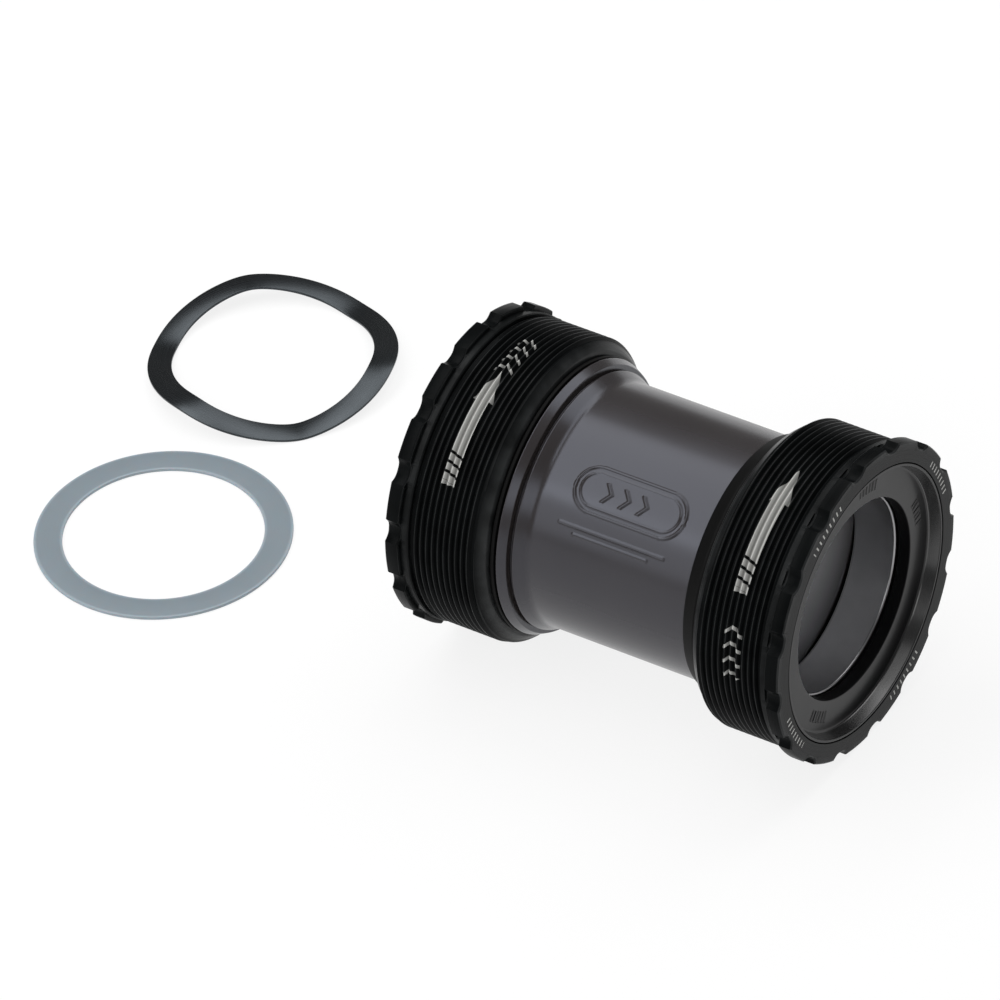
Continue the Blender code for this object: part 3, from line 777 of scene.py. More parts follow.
def sleeve_finish(name, sleeve):
    """Smoky plastic with a cool gloss, and painted light inside its bore that fades towards its ends."""
    material, nodes, shader, vector, base = start_moulding(
        name, sleeve.colour, roughness=0.25, relief=0.002 * MM, scale=SLEEVE_GRAIN, specular=0.55
    )
    parts = nodes.add("ShaderNodeSeparateXYZ", {0: vector}).outputs
    inside = nodes.math("LESS_THAN", off_axis(nodes, parts), sleeve.bore_r + PAINTED_BORE_REACH)
    painted_bore_light = nodes.span(from_middle(nodes, vector), *LIT_SPAN, 1.0, 0.0)
    # The bore is painted pale as painted light, full near the middle and fading towards the ends
    base = nodes.mix(nodes.math("MULTIPLY", inside, painted_bore_light), base, (*sleeve.painted_bore_colour, 1.0))
    nodes.plug(shader.inputs["Base Color"], base)
    shader.inputs["Specular Tint"].default_value = COOL_GLOSS
    return material


def steel_finish(name, rgb, centre, roughness, spacing, painted_edge_shade, rotation=(0.0, 0.0, 0.0)):
    """Ground or rolled steel with lines round the ring, slight stains, and edges of another shade, which
    is painted shade that dims their reflections.
    """
    material, nodes, shader, coordinates = new_material(name, rgb, roughness, metallic=1.0)
    vector = centred(nodes, coordinates, centre, rotation)
    grain = nodes.group("surface_grain", Vector=vector, Scale=STEEL_GRAIN)
    lines = nodes.group("turned_lines", Vector=vector, Spacing=spacing)["Height"]
    edge_mask = nodes.group("edge_wear", Grain=1.0, Amount=1.0)["Mask"]
    base = tint(nodes, rgb, 0.92, 1.08, grain["Broad"])
    # Edges take another shade: painted shade that dims the reflections along them
    base = nodes.mix(edge_mask, base, shade(rgb, painted_edge_shade))
    nodes.plug(shader.inputs["Base Color"], base)
    rough = nodes.span(lines, 0.2, 0.8, roughness - 0.03, roughness + 0.03)
    nodes.plug(shader.inputs["Roughness"], rough)
    relief = nodes.math("MULTIPLY_ADD", grain["Fine"], 0.3, lines)
    add_bump(nodes, shader, relief, 0.0002 * MM)
    return material


def eased(corners):
    """Points of a profile with its corners rounded, and how exposed each point is.

    Corners are (depth, radius, ease). A convex corner counts as an exposed edge, for wear and painted
    light in the finishes.
    """
    flat = [Vector((depth, radius)) for depth, radius, _ in corners]
    total = len(flat)
    area = sum(flat[i - 1].x * flat[i].y - flat[i].x * flat[i - 1].y for i in range(total))
    points = []
    for i, (depth, radius, ease) in enumerate(corners):
        here = flat[i]
        back = flat[i - 1] - here
        ahead = flat[(i + 1) % total] - here
        turn = back.angle(ahead)
        if ease <= 0 or turn > STRAIGHT:
            points.append((depth, radius, 0.0))
            continue
        reach = min(ease / math.tan(turn / 2), MOST_EASE * back.length, MOST_EASE * ahead.length)
        round_r = reach * math.tan(turn / 2)
        convex = (-back.x * ahead.y + back.y * ahead.x) * area > 0
        back.normalize()
        ahead.normalize()
        middle = here + (back + ahead).normalized() * (round_r / math.sin(turn / 2))
        start = here + back * reach - middle
        sweep = start.angle_signed(here + ahead * reach - middle)
        rest = here + back * (reach + SUPPORT)
        points.append((rest.x, rest.y, 0.0))
        for step in range(EASE_STEPS + 1):
            spoke = start.copy()
            spoke.rotate(Matrix.Rotation(-sweep * step / EASE_STEPS, 2))
            points.append((middle.x + spoke.x, middle.y + spoke.y, 1.0 if convex else 0.0))
        rest = here + ahead * (reach + SUPPORT)
        points.append((rest.x, rest.y, 0.0))
    return np.array(points)


def shell(name, rings, **numbers):
    """Mesh over closed rings of points, with numbers stored on its points.

    Rings have shape (rings, columns, 3). The last column repeats the first one's place.
    """
    rows, columns = rings.shape[:2]
    index = np.arange(rows * columns).reshape(rows, columns)
    ahead = np.roll(index, -1, axis=0)
    faces = np.stack([index[:, :-1], ahead[:, :-1], ahead[:, 1:], index[:, 1:]], -1)
    mesh = bpy.data.meshes.new(name)
    mesh.from_pydata(rings.reshape(-1, 3).tolist(), [], faces.reshape(-1, 4).tolist())
    for key, values in numbers.items():
        layer = mesh.attributes.new(key, "FLOAT", "POINT")
        layer.data.foreach_set("value", np.broadcast_to(values, (rows, columns)).ravel().astype("f"))
    return mesh


def dress(mesh):
    """Weld a mesh, turn its faces outwards and smooth all but its corners."""
    work = bmesh.new()
    work.from_mesh(mesh)
    bmesh.ops.remove_doubles(work, verts=work.verts, dist=WELD)
    bmesh.ops.dissolve_degenerate(work, edges=work.edges, dist=WELD)
    bmesh.ops.recalc_face_normals(work, faces=work.faces)
    work.to_mesh(mesh)
    work.free()
    mesh.shade_smooth()
    mesh.set_sharp_from_angle(angle=SHARP_ANGLE)


def add_piece(name, mesh, material, body, slot, *nodes):
    """Put a finished mesh on its body, in place of its CAD nodes."""
    dress(mesh)
    if not mesh.materials:
        mesh.materials.append(material)
    piece = bpy.data.objects.new(name, mesh)
    bpy.context.scene.collection.objects.link(piece)
    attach(piece, body)
    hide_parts(*nodes)


def grown(name, tree, blank, **inputs):
    """Plain mesh from a Geometry Nodes tree with the inputs given."""
    group = bpy.data.node_groups[tree]
    maker = bpy.data.objects.new(name, blank or bpy.data.meshes.new(name))
    bpy.context.scene.collection.objects.link(maker)
    modifier = maker.modifiers.new(tree, "NODES")
    modifier.node_group = group
    for item in group.interface.items_tree:
        key = item.name.lower().replace(" ", "_")
        if item.in_out == "INPUT" and key in inputs:
            modifier[item.identifier] = inputs[key]
    graph = bpy.context.evaluated_depsgraph_get()
    mesh = bpy.data.meshes.new_from_object(maker.evaluated_get(graph))
    maker.modifiers.remove(modifier)
    bpy.data.objects.remove(maker)
    mesh.name = name
    return mesh


def even_turns(steps):
    """Angles once round, with the first one repeated."""
    return np.linspace(0, 2 * math.pi, steps + 1)


def finer(turns, patch, low, high):
    """Angles once round, with finer ones in place of those from low to high."""
    outside = (turns < low) | (turns > high)
    return np.sort(np.concatenate([turns[outside], patch]))


def around(x, radius, turn):
    """Points round the bracket's axis."""
    return np.stack([x, AXIS_Y + radius * np.cos(turn), AXIS_Z + radius * np.sin(turn)], -1)


def turned(name, side, corners):
    """Mesh of a profile, with depths from a cup's face, turned round the bracket's axis."""
    points = eased(corners)
    turns = even_turns(ROUND_STEPS)
    x = np.repeat((FACE_X[side] + INWARD[side] * points[:, 0])[:, None], len(turns), 1)
    return shell(name, around(x, points[:, 1:2], turns), edge=points[:, 2:3])


class BRACKET_OT_cups(bpy.types.Operator):
    """Build the two threaded cups"""

    bl_idname = "bracket.cups"
    bl_label = "Cups"

    def execute(self, context):
        cup = settings().cup
        turns = {"drive": cup.drive_turn, "non_drive": cup.non_drive_turn}
        for side, turn in turns.items():
            name = side + "_cup_shell"
            finish = anodised_finish(side + "_anodised", side)
            blank = cup_blank(side + "_cup_blank", side, cup, turn)
            mesh = grown(
                name, "helical_thread", blank, face=FACE_X[side], inward=INWARD[side], axis=AXIS,
                start=cup.flange_t + cup.collar_length, length=cup.thread_length,
                pitch=cup.thread_pitch, depth=cup.thread_depth,
                root_radius=cup.thread_r - cup.thread_depth, run_out=RUN_OUT * cup.thread_pitch,
                lead_in=LEAD_IN * cup.thread_pitch, weld=WELD, finish=finish,
            )
            add_piece(name, mesh, finish, side + "_cup_body", "anodised", side + "_cup")
        return {"FINISHED"}


def notch_outline(cup, turn):
    """Edge of the flange round one turn, as angles and radii, with its notches."""
    edge_r = AXIS_Z
    floor_r = edge_r - cup.notch_depth
    mouth = cup.notch_width / 2
    rounds = cup.notch_corner + cup.lug_corner
    climb = cup.notch_depth - rounds * (1 - math.cos(cup.notch_lean))
    floor = mouth - rounds * math.sin(cup.notch_lean) - climb / math.tan(cup.notch_lean)
    leans = np.linspace(0, cup.notch_lean, NOTCH_STEPS)
    side = [
        (floor + cup.notch_corner * math.sin(lean), cup.notch_corner * (1 - math.cos(lean)))
        for lean in leans
    ]
    side += [
        (
            mouth - cup.lug_corner * math.sin(lean),
            cup.notch_depth - cup.lug_corner * (1 - math.cos(lean)),
        )
        for lean in leans[::-1]
    ]
    half = [
        (math.atan2(across, floor_r + up), min(edge_r, math.hypot(across, floor_r + up)))
        for across, up in side
    ]
    step = 2 * math.pi / cup.notches
    last = half[-1][0]
    half += [(last + (step / 2 - last) * part, edge_r) for part in (1 / 3, 2 / 3)]
    mirrored = [(-lean, radius) for lean, radius in reversed(half)]
    whole = mirrored + [(0.0, floor_r)] + half + [(step / 2, edge_r)]
    points = [
        (turn + notch * step + lean, radius)
        for notch in range(cup.notches)
        for lean, radius in whole
    ]
    points.append((points[0][0] + 2 * math.pi, points[0][1]))
    return np.array(points)


def inset_outline(outline, inset):
    """The flange's edge moved inwards by an even amount, as angles and radii."""
    turns, radii = outline[:-1, 0], outline[:-1, 1]
    spots = np.stack([radii * np.cos(turns), radii * np.sin(turns)], -1)
    along = np.roll(spots, -1, 0) - np.roll(spots, 1, 0)
    along /= np.linalg.norm(along, axis=1)[:, None]
    moved = spots - inset * np.stack([along[:, 1], -along[:, 0]], -1)
    lean = np.arctan2(moved[:, 1], moved[:, 0]) - turns
    lean = (lean + math.pi) % (2 * math.pi) - math.pi
    result = np.stack([turns + lean, np.hypot(moved[:, 0], moved[:, 1])], -1)
    return np.vstack([result, result[:1] + [[2 * math.pi, 0.0]]])


# One pitch of the thread: how far through the pitch each row lies, and its height
THREAD_ROWS = (
    (0.0, 0.0), (0.08, 0.0), (0.40, 0.9), (0.455, 1.0), (0.545, 1.0), (0.60, 0.9), (0.92, 0.0),
)

# Exposure of the thread's crests, which grows with height; it paints their wear and their painted
# highlight lines
CREST_RATE = 4
CREST_FROM = 3.6

# Ends of the thread, in pitches: where it runs out at the collar and leads in at the nose
RUN_OUT = 0.9
LEAD_IN = 0.35

# Eased edges of a cup
MOUTH_EASE = 0.06 * MM
FACE_INSET = 0.4 * MM
COLLAR_EASE = 0.16 * MM
NOSE_EASE = 0.15 * MM

# Lugs: outboard edge as depths, insets and exposures, where their sides start, and back edge
LUG_EASE = ((0.0, 0.24 * MM, 0.5), (0.1 * MM, 0.08 * MM, 0.8))
LUG_SIDE = 0.26 * MM
LUG_BACK = (0.14 * MM, 0.12 * MM)


def cup_blank(name, side, cup, turn):
    """Cup with its notched flange, pocket and nose, and flat rows for the thread."""
    outline = notch_outline(cup, turn)
    columns = outline[:, 0]
    start = cup.flange_t + cup.collar_length
    root_r = cup.thread_r - cup.thread_depth
    under = inset_outline(outline, LUG_BACK[1])
    waist = np.stack([under[:, 0], np.minimum(under[:, 1], cup.collar_r)], -1)

    def circle(radius):
        """A round ring at the outline's angles."""
        return np.stack([columns, np.full(len(columns), radius)], -1)

    before = [
        (0.0, circle(cup.pocket_r + MOUTH_EASE), 0.0),
        (0.0, circle(AXIS_Z - cup.notch_depth - FACE_INSET), 0.0),
        *((depth, inset_outline(outline, inset), edge) for depth, inset, edge in LUG_EASE),
        (LUG_SIDE, outline, 0.0),
        (cup.flange_t - LUG_BACK[0], outline, 0.0),
        (cup.flange_t, under, 0.5),
        (cup.flange_t, waist, 0.0),
        (cup.flange_t + cup.notch_overrun, waist, 0.0),
        (cup.flange_t + cup.notch_overrun, circle(cup.collar_r), 0.3),
        (start - COLLAR_EASE, circle(cup.collar_r), 0.2),
        (start, circle(cup.collar_r - COLLAR_EASE), 0.2),
    ]
    fall = (root_r - cup.nose_r) / (CUP_DEPTH - start - cup.thread_length)
    after = [
        (CUP_DEPTH - NOSE_EASE, circle(cup.nose_r + NOSE_EASE * fall), 0.8),
        (CUP_DEPTH, circle(cup.nose_r - NOSE_EASE), 0.8),
        (CUP_DEPTH, circle(cup.nose_bore_r + NOSE_EASE), 0.5),
        (CUP_DEPTH - NOSE_EASE, circle(cup.nose_bore_r), 0.5),
        (cup.shoulder, circle(cup.nose_bore_r), 0.0),
        (cup.shoulder, circle(cup.pocket_r), 0.0),
        (MOUTH_EASE, circle(cup.pocket_r), 0.0),
    ]
    pitches = int(round(cup.thread_length / cup.thread_pitch)) + 1
    rows = [(whole + part, height) for whole in range(pitches) for part, height in THREAD_ROWS]
    rows.append((float(pitches), 0.0))
    thread = [(start, circle(root_r), max(0.0, CREST_RATE * height - CREST_FROM)) for _, height in rows]
    profile = before + thread + after
    rings = []
    for depth, ring, _ in profile:
        x = np.full(len(columns), FACE_X[side] + INWARD[side] * depth)
        rings.append(around(x, ring[:, 1], ring[:, 0]))

    def down_rows(plain, threaded):
        """One number for each ring: the same on plain ones, and its own on each of the thread's."""
        return np.array([plain] * len(before) + threaded + [plain] * len(after))[:, None]

    return shell(
        name, np.array(rings),
        edge=np.array([edge for _, _, edge in profile])[:, None],
        threaded=down_rows(0.0, [1.0] * len(rows)),
        row=down_rows(0.0, [row for row, _ in rows]),
        height=down_rows(1.0, [height for _, height in rows]),
        turn=columns[None, :],
    )


# Eased edges of a cover
DISH_EASE = 0.4 * MM
RIM_EASE = 0.1 * MM
OUTER_EASE = 0.05 * MM
BACK_EASE = 0.2 * MM
BACK_BORE_EASE = 0.15 * MM
BORE_EASE = 0.22 * MM


class BRACKET_OT_covers(bpy.types.Operator):
    """Build the dished covers in the cups' mouths"""

    bl_idname = "bracket.covers"
    bl_label = "Covers"

    def execute(self, context):
        cover = settings().cover
        finish = cover_finish("cover_plastic", cover)
        corners = (
            (cover.dish_depth, cover.dish_r, DISH_EASE),
            (cover.rim_depth, cover.rim_r, RIM_EASE),
            (cover.rim_depth, cover.outer_r, OUTER_EASE),
            (cover.back, cover.outer_r, BACK_EASE),
            (cover.back, cover.bore_r, BACK_BORE_EASE),
            (cover.dish_depth, cover.bore_r, BORE_EASE),
        )
        for side in FACE_X:
            name = side + "_cover_cap"
            mesh = cover_mesh(name, side, cover, corners)
            add_piece(name, mesh, finish, side + "_cup_body", "cover_plastic", side + "_cover")
        return {"FINISHED"}


# Raised ticks on the covers: middle of each group, how finely it is divided, and its soft sides
TICK_GROUPS = (math.radians(12.0), math.radians(74.0), math.radians(232.0))
TICK_STEP = 0.11 * MM
TICK_SOFT = 0.12 * MM


def cover_mesh(name, side, cover, corners):
    """Cover turned from its profile, with groups of raised ticks on the dish's flat."""
    points = eased(corners)
    reach = cover.tick_length / 2 + 2 * TICK_SOFT
    fine = np.arange(cover.tick_r - reach, cover.tick_r + reach, TICK_STEP)
    rows = np.stack([np.full(len(fine), cover.dish_depth), fine, np.zeros(len(fine))], -1)
    points = np.vstack([points, rows])
    turns = even_turns(ROUND_STEPS)
    half = (cover.ticks + 0.5) * cover.tick_width / cover.tick_r
    for middle in TICK_GROUPS:
        start = middle - half
        patch = np.arange(start, start + 2 * half, TICK_STEP / cover.tick_r)
        turns = finer(turns, patch, patch[0], patch[-1])
    depth, turn = np.meshgrid(points[:, 0], turns, indexing="ij")
    radius = np.repeat(points[:, 1:2], len(turns), 1)
    raised = np.zeros_like(depth)
    for middle in TICK_GROUPS:
        for place in range(cover.ticks):
            spot = middle + (2 * place - cover.ticks + 1) * cover.tick_width / cover.tick_r
            across = cover.tick_width / 2 - np.abs(turn - spot) * cover.tick_r
            along = cover.tick_length / 2 - np.abs(radius - cover.tick_r)
            tick = np.clip(np.minimum(across, along) / TICK_SOFT + 0.5, 0, 1)
            raised = np.maximum(raised, tick)
    raised[:-len(fine)] = 0.0
    x = FACE_X[side] + INWARD[side] * (depth - cover.tick_height * raised)
    return shell(name, around(x, radius, turn), edge=points[:, 2:3])


def groove_points(pitch_r, groove_r, land_r, middle):
    """Profile of a ball groove between a ring's two lands."""
    toward = 1 if land_r > pitch_r else -1
    reach = math.acos(abs(land_r - pitch_r) / groove_r)
    leans = [reach * (2 * part / GROOVE_STEPS - 1) for part in range(GROOVE_STEPS + 1)]
    return [
        (middle + groove_r * math.sin(lean), pitch_r + toward * groove_r * math.cos(lean), 0.0)
        for lean in leans
    ]


# Eased edges of the bearings' lands and shields, and the step of the band round a shield
LAND_EASE = 0.1 * MM
SHIELD_EASE = 0.12 * MM
BAND_EASE = 0.05 * MM
BAND_STEP = 0.12 * MM
BAND_RUN = 0.1 * MM


class BRACKET_OT_bearings(bpy.types.Operator):
    """Build the bearings' rings, balls, cages and shields"""

    bl_idname = "bracket.bearings"
    bl_label = "Bearings"

    def execute(self, context):
        bearing = settings().bearing
        near, far = BEARING_DEPTH, BEARING_DEPTH + BEARING_WIDTH
        middle = (near + far) / 2
        pitch_r = (bearing.bore_r + BEARING_R) / 2
        inner_land = bearing.bore_r + bearing.race_wall
        outer_land = BEARING_R - bearing.race_wall
        # The rings' chamfers are darkened: partly their own unground tone, partly painted shade that
        # dims their reflection line
        steel = steel_finish(
            "ground_steel", bearing.steel, AXIS, roughness=0.3, spacing=0.5 * MM, painted_edge_shade=0.7
        )
        rubber = moulded_finish(
            "shield_rubber", bearing.rubber, roughness=0.6, relief=0.002 * MM, specular=0.3
        )
        nylon = moulded_finish("cage_nylon", bearing.nylon, roughness=0.5, relief=0.003 * MM)
        outer = [
            (near, BEARING_R, bearing.chamfer), (far, BEARING_R, bearing.chamfer),
            (far, outer_land, LAND_EASE),
            *reversed(groove_points(pitch_r, bearing.groove_r, outer_land, middle)),
            (near, outer_land, LAND_EASE),
        ]
        inner = [
            (near, inner_land, LAND_EASE),
            *groove_points(pitch_r, bearing.groove_r, inner_land, middle),
            (far, inner_land, LAND_EASE),
            (far, bearing.bore_r, bearing.chamfer), (near, bearing.bore_r, bearing.chamfer),
        ]
        for side in FACE_X:
            cup_body = side + "_cup_body"
            for where, body, profile in (
                ("outer", cup_body, outer), ("inner", side + "_spindle_ring", inner),
            ):
                name = f"{side}_{where}_ring"
                mesh = turned(name, side, profile)
                add_piece(name, mesh, steel, body, "bearing_steel", f"{side}_{where}_race")
            for where, face, into in (("outboard", near, 1), ("inboard", far, -1)):
                top = face + into * bearing.shield_inset
                profile = shield_profile(bearing, top, into, inner_land, outer_land)
                name = f"{side}_{where}_seal_disc"
                mesh = turned(name, side, profile)
                add_piece(name, mesh, rubber, cup_body, "shield_rubber", f"{side}_{where}_shield")
            centre = Vector((FACE_X[side] + INWARD[side] * middle, AXIS_Y, AXIS_Z))
            mesh = grown(
                side + "_ball_ring", "ball_ring", None, balls=bearing.balls, ring_radius=pitch_r,
                ball_radius=bearing.ball_r, first=bearing.first_ball, place=centre, finish=steel,
            )
            names = [f"{side}_ball_{number:02d}" for number in range(1, bearing.balls + 1)]
            add_piece(side + "_ball_ring", mesh, steel, side + "_ball_set", "bearing_steel", *names)
            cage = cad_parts[side + "_cage"]
            cage.data.materials.clear()
            cage.data.materials.append(nylon)
        return {"FINISHED"}


def shield_profile(bearing, top, into, inner_land, outer_land):
    """Profile of a shield: a flat web with a sunken band and a rounded edge at each side."""
    low = inner_land + bearing.shield_gap
    high = outer_land - bearing.shield_gap
    back = top + into * bearing.shield_t
    third = (high - low) / 3
    step = into * BAND_STEP
    return [
        (top, high, SHIELD_EASE),
        (back, high, SHIELD_EASE),
        (back, low, SHIELD_EASE),
        (top, low, SHIELD_EASE),
        (top, low + third, BAND_EASE),
        (top + step, low + third + BAND_RUN, BAND_EASE),
        (top + step, high - third - BAND_RUN, BAND_EASE),
        (top, high - third, BAND_EASE),
    ]


# Eased edges of the sleeve
RIB_EASE = 0.15 * MM
SECOND_RIB_EASE = 0.25 * MM
RIB_GROOVE_EASE = 0.08 * MM
TUBE_EASE = 0.3 * MM


class BRACKET_OT_sleeve(bpy.types.Operator):
    """Build the plastic sleeve with its ribs and raised lines"""

    bl_idname = "bracket.sleeve"
    bl_label = "Sleeve"

    def execute(self, context):
        sleeve = settings().sleeve
        finish = sleeve_finish("sleeve_plastic", sleeve)
        end = (SLEEVE_BOX[1].x - SLEEVE_BOX[0].x) / 2
        groove = sleeve.rib_at + sleeve.rib_length + sleeve.ramp
        second = groove + sleeve.groove_length + sleeve.ramp
        second_end = second + sleeve.second_length
        corners = [
            (second_end, sleeve.tube_r, sleeve.flare_r),
            (second, sleeve.second_r, SECOND_RIB_EASE),
            (second - sleeve.ramp, sleeve.groove_r, RIB_GROOVE_EASE),
            (groove, sleeve.groove_r, RIB_GROOVE_EASE),
            (groove - sleeve.ramp, sleeve.rib_r - sleeve.rib_slope, RIB_EASE),
            (sleeve.rib_at, sleeve.rib_r, RIB_EASE),
            (sleeve.rib_at, sleeve.tube_r, RIB_EASE),
            (-end, sleeve.tube_r, TUBE_EASE),
            (-end, sleeve.bore_r, TUBE_EASE),
            (end, sleeve.bore_r, TUBE_EASE),
            (end, sleeve.tube_r, TUBE_EASE),
        ]
        mesh = sleeve_mesh("sleeve_tube", sleeve, corners)
        add_piece("sleeve_tube", mesh, finish, "sleeve", "sleeve_plastic", "centre_sleeve")
        return {"FINISHED"}


# Raised lines on the sleeve: the patch they lie in, and how finely it is divided
PATCH_ALONG = (-9.6 * MM, 12.4 * MM)
PATCH_TURN = (math.radians(106.0), math.radians(163.0))
PATCH_STEP = 0.13 * MM
PATCH_MIDDLE = math.radians(134.7)
LINE_SOFT = 0.14 * MM

# Panel of raised lines: its middle, and the half length, half height, line and rise of its two edges
PANEL_AT = (1.6 * MM, 1.9 * MM)
PANEL_EDGES = ((9.2 * MM, 3.5 * MM, 0.17 * MM, 1.0), (8.3 * MM, 2.6 * MM, 0.12 * MM, 0.6))

# Chevrons in the panel: their places along the sleeve, slope, narrowing, half height and line
RAISED_CHEVRONS = (-1.6 * MM, 1.4 * MM, 4.4 * MM)
RAISED_SLOPE = 0.8
RAISED_NARROWING = 0.78
RAISED_HALF = 1.5 * MM
RAISED_LINE = 0.2 * MM

# Bars below the panel: their middle along the sleeve, half height, and each one's place and half length
BARS_AT = 0.6 * MM
BAR_HALF = 0.22 * MM
BARS = ((-4.2 * MM, 9.0 * MM), (-5.3 * MM, 6.4 * MM))


def line_height(along, across):
    """Height of the raised lines, from 0 to 1, over distances along and across the sleeve."""

    def stroke(distance, width):
        """A line with soft sides."""
        return np.clip((width - distance) / LINE_SOFT + 0.5, 0, 1)

    def oblong(x, y, half_x, half_y):
        """Distance from the edge of a round-ended panel."""
        over = np.maximum(np.abs(x) - (half_x - half_y), 0)
        return np.hypot(over, y) - half_y

    height = np.zeros_like(along)
    up = across - PANEL_AT[1]
    for half_x, half_y, line, rise in PANEL_EDGES:
        edge = oblong(along - PANEL_AT[0], up, half_x, half_y)
        height = np.maximum(height, rise * stroke(np.abs(edge), line))
    for place in RAISED_CHEVRONS:
        bend = np.abs(along - place + np.abs(up) * RAISED_SLOPE) * RAISED_NARROWING
        height = np.maximum(height, stroke(bend, RAISED_LINE) * (np.abs(up) < RAISED_HALF))
    for place, half in BARS:
        bar = oblong(along - BARS_AT, across - place, half, BAR_HALF)
        height = np.maximum(height, stroke(bar, 0.0))
    return height


def sleeve_mesh(name, sleeve, corners):
    """Sleeve turned from its profile, with finer faces where the raised lines are."""
    points = eased(corners)
    fine = np.arange(*PATCH_ALONG, PATCH_STEP)[::-1]
    rows = np.stack([fine, np.full(len(fine), sleeve.tube_r), np.zeros(len(fine))], -1)
    points = np.vstack([points, rows])
    patch = np.arange(*PATCH_TURN, PATCH_STEP / sleeve.tube_r)
    turns = finer(even_turns(ROUND_STEPS), patch, *PATCH_TURN)
    along, turn = np.meshgrid(points[:, 0], turns, indexing="ij")
    radius = np.repeat(points[:, 1:2], len(turns), 1)
    lines = line_height(along, (PATCH_MIDDLE - turn) * sleeve.tube_r)
    lines[:-len(fine)] = 0.0
    rings = around(CENTRE_X + along, radius + sleeve.emboss * lines, turn)
    return shell(name, rings, edge=points[:, 2:3])


# Eased edges of the seals
SEAL_EASE = 0.15 * MM
LIP_EASE = 0.18 * MM
LIP_ROOT_EASE = 0.08 * MM
LIP_BORE_EASE = 0.1 * MM
TAPER_EASE = 0.3 * MM
TIP_EASE = 0.12 * MM


class BRACKET_OT_seals(bpy.types.Operator):
    """Build the rubber seals between the cups and the sleeve"""

    bl_idname = "bracket.seals"
    bl_label = "Seals"

    def execute(self, context):
        seal = settings().seal
        finish = moulded_finish(
            "seal_rubber", seal.colour, roughness=0.5, relief=0.002 * MM, specular=0.06, wear=0.12
        )
        inside = CUP_DEPTH - seal.engagement
        lip = CUP_DEPTH + seal.lip_gap
        lip_end = CUP_DEPTH + seal.lip_end
        tip = CUP_DEPTH + seal.wiper_reach
        profiles = {
            "drive": [
                (inside, seal.outer_r, SEAL_EASE),
                (lip, seal.outer_r, LIP_ROOT_EASE),
                (lip, seal.lip_r, LIP_EASE),
                (lip_end, seal.lip_r, LIP_EASE),
                (lip_end, seal.bore_r, LIP_BORE_EASE),
                (inside, seal.bore_r, SEAL_EASE),
            ],
            "non_drive": [
                (inside, seal.outer_r, SEAL_EASE),
                (tip - seal.wiper_taper, seal.outer_r, TAPER_EASE),
                (tip, seal.bore_r + seal.wiper_wall, TIP_EASE),
                (tip, seal.bore_r, TIP_EASE),
                (inside, seal.bore_r, SEAL_EASE),
            ],
        }
        for side, corners in profiles.items():
            name = side + "_seal_ring"
            mesh = turned(name, side, corners)
            add_piece(name, mesh, finish, side + "_seal_body", "seal_rubber", side + "_sleeve_seal")
        return {"FINISHED"}


class BRACKET_OT_rings(bpy.types.Operator):
    """Build the loose spacer and the wave washer"""

    bl_idname = "bracket.rings"
    bl_label = "Loose Rings"

    def execute(self, context):
        ring = settings().ring
        low, high = SPACER_BOX
        middle = (low + high) / 2
        outer_r = (high.x - low.x) / 2
        middle_r = (outer_r + ring.spacer_bore_r) / 2
        width = outer_r - ring.spacer_bore_r
        plastic = spacer_finish("spacer_plastic", ring.spacer_colour, middle, middle_r, width)
        mesh = grown(
            "spacer_washer", "formed_ring", None, radius=middle_r, width=width,
            thickness=high.z - low.z, edge=ring.spacer_edge, dome=0.0, wave_height=0.0, waves=1,
            wave_angle=0.0, sharpness=0.5, steps=ROUND_STEPS, place=Vector((middle.x, middle.y, 0.0)),
            finish=plastic,
        )
        add_piece("spacer_washer", mesh, plastic, "spacer_body", "spacer_plastic", "spacer_ring")
        low, high = WASHER_BOX
        middle = (low + high) / 2
        outer_r = (high.x - low.x) / 2
        # The washer's cut edges are darkened as painted shade, for the dark surroundings that they
        # reflect
        steel = steel_finish(
            "spring_steel", ring.washer_colour, middle, roughness=0.27, spacing=0.3 * MM,
            painted_edge_shade=0.55, rotation=FLAT_RING,
        )
        mesh = grown(
            "wave_spring", "formed_ring", None,
            radius=(outer_r + ring.washer_bore_r) / 2, width=outer_r - ring.washer_bore_r,
            thickness=ring.washer_t, edge=ring.washer_edge, dome=ring.washer_dome,
            wave_height=high.z - low.z - ring.washer_t - ring.washer_dome, waves=ring.waves,
            wave_angle=ring.wave_turn, sharpness=ring.wave_sharpness, steps=WASHER_STEPS,
            place=Vector((middle.x, middle.y, 0.0)), finish=steel,
        )
        add_piece("wave_spring", mesh, steel, "wave_washer_body", "spring_steel", "wave_washer")
        return {"FINISHED"}


# Spacer: the pale rim of painted light along its edges, standing in for light that shows through them,
# as insets from the edge
RIM_SPAN = (0.5 * MM, 0.15 * MM)
PAINTED_RIM_SHARE = 0.9
PAINTED_RIM_LIGHT = 1.55


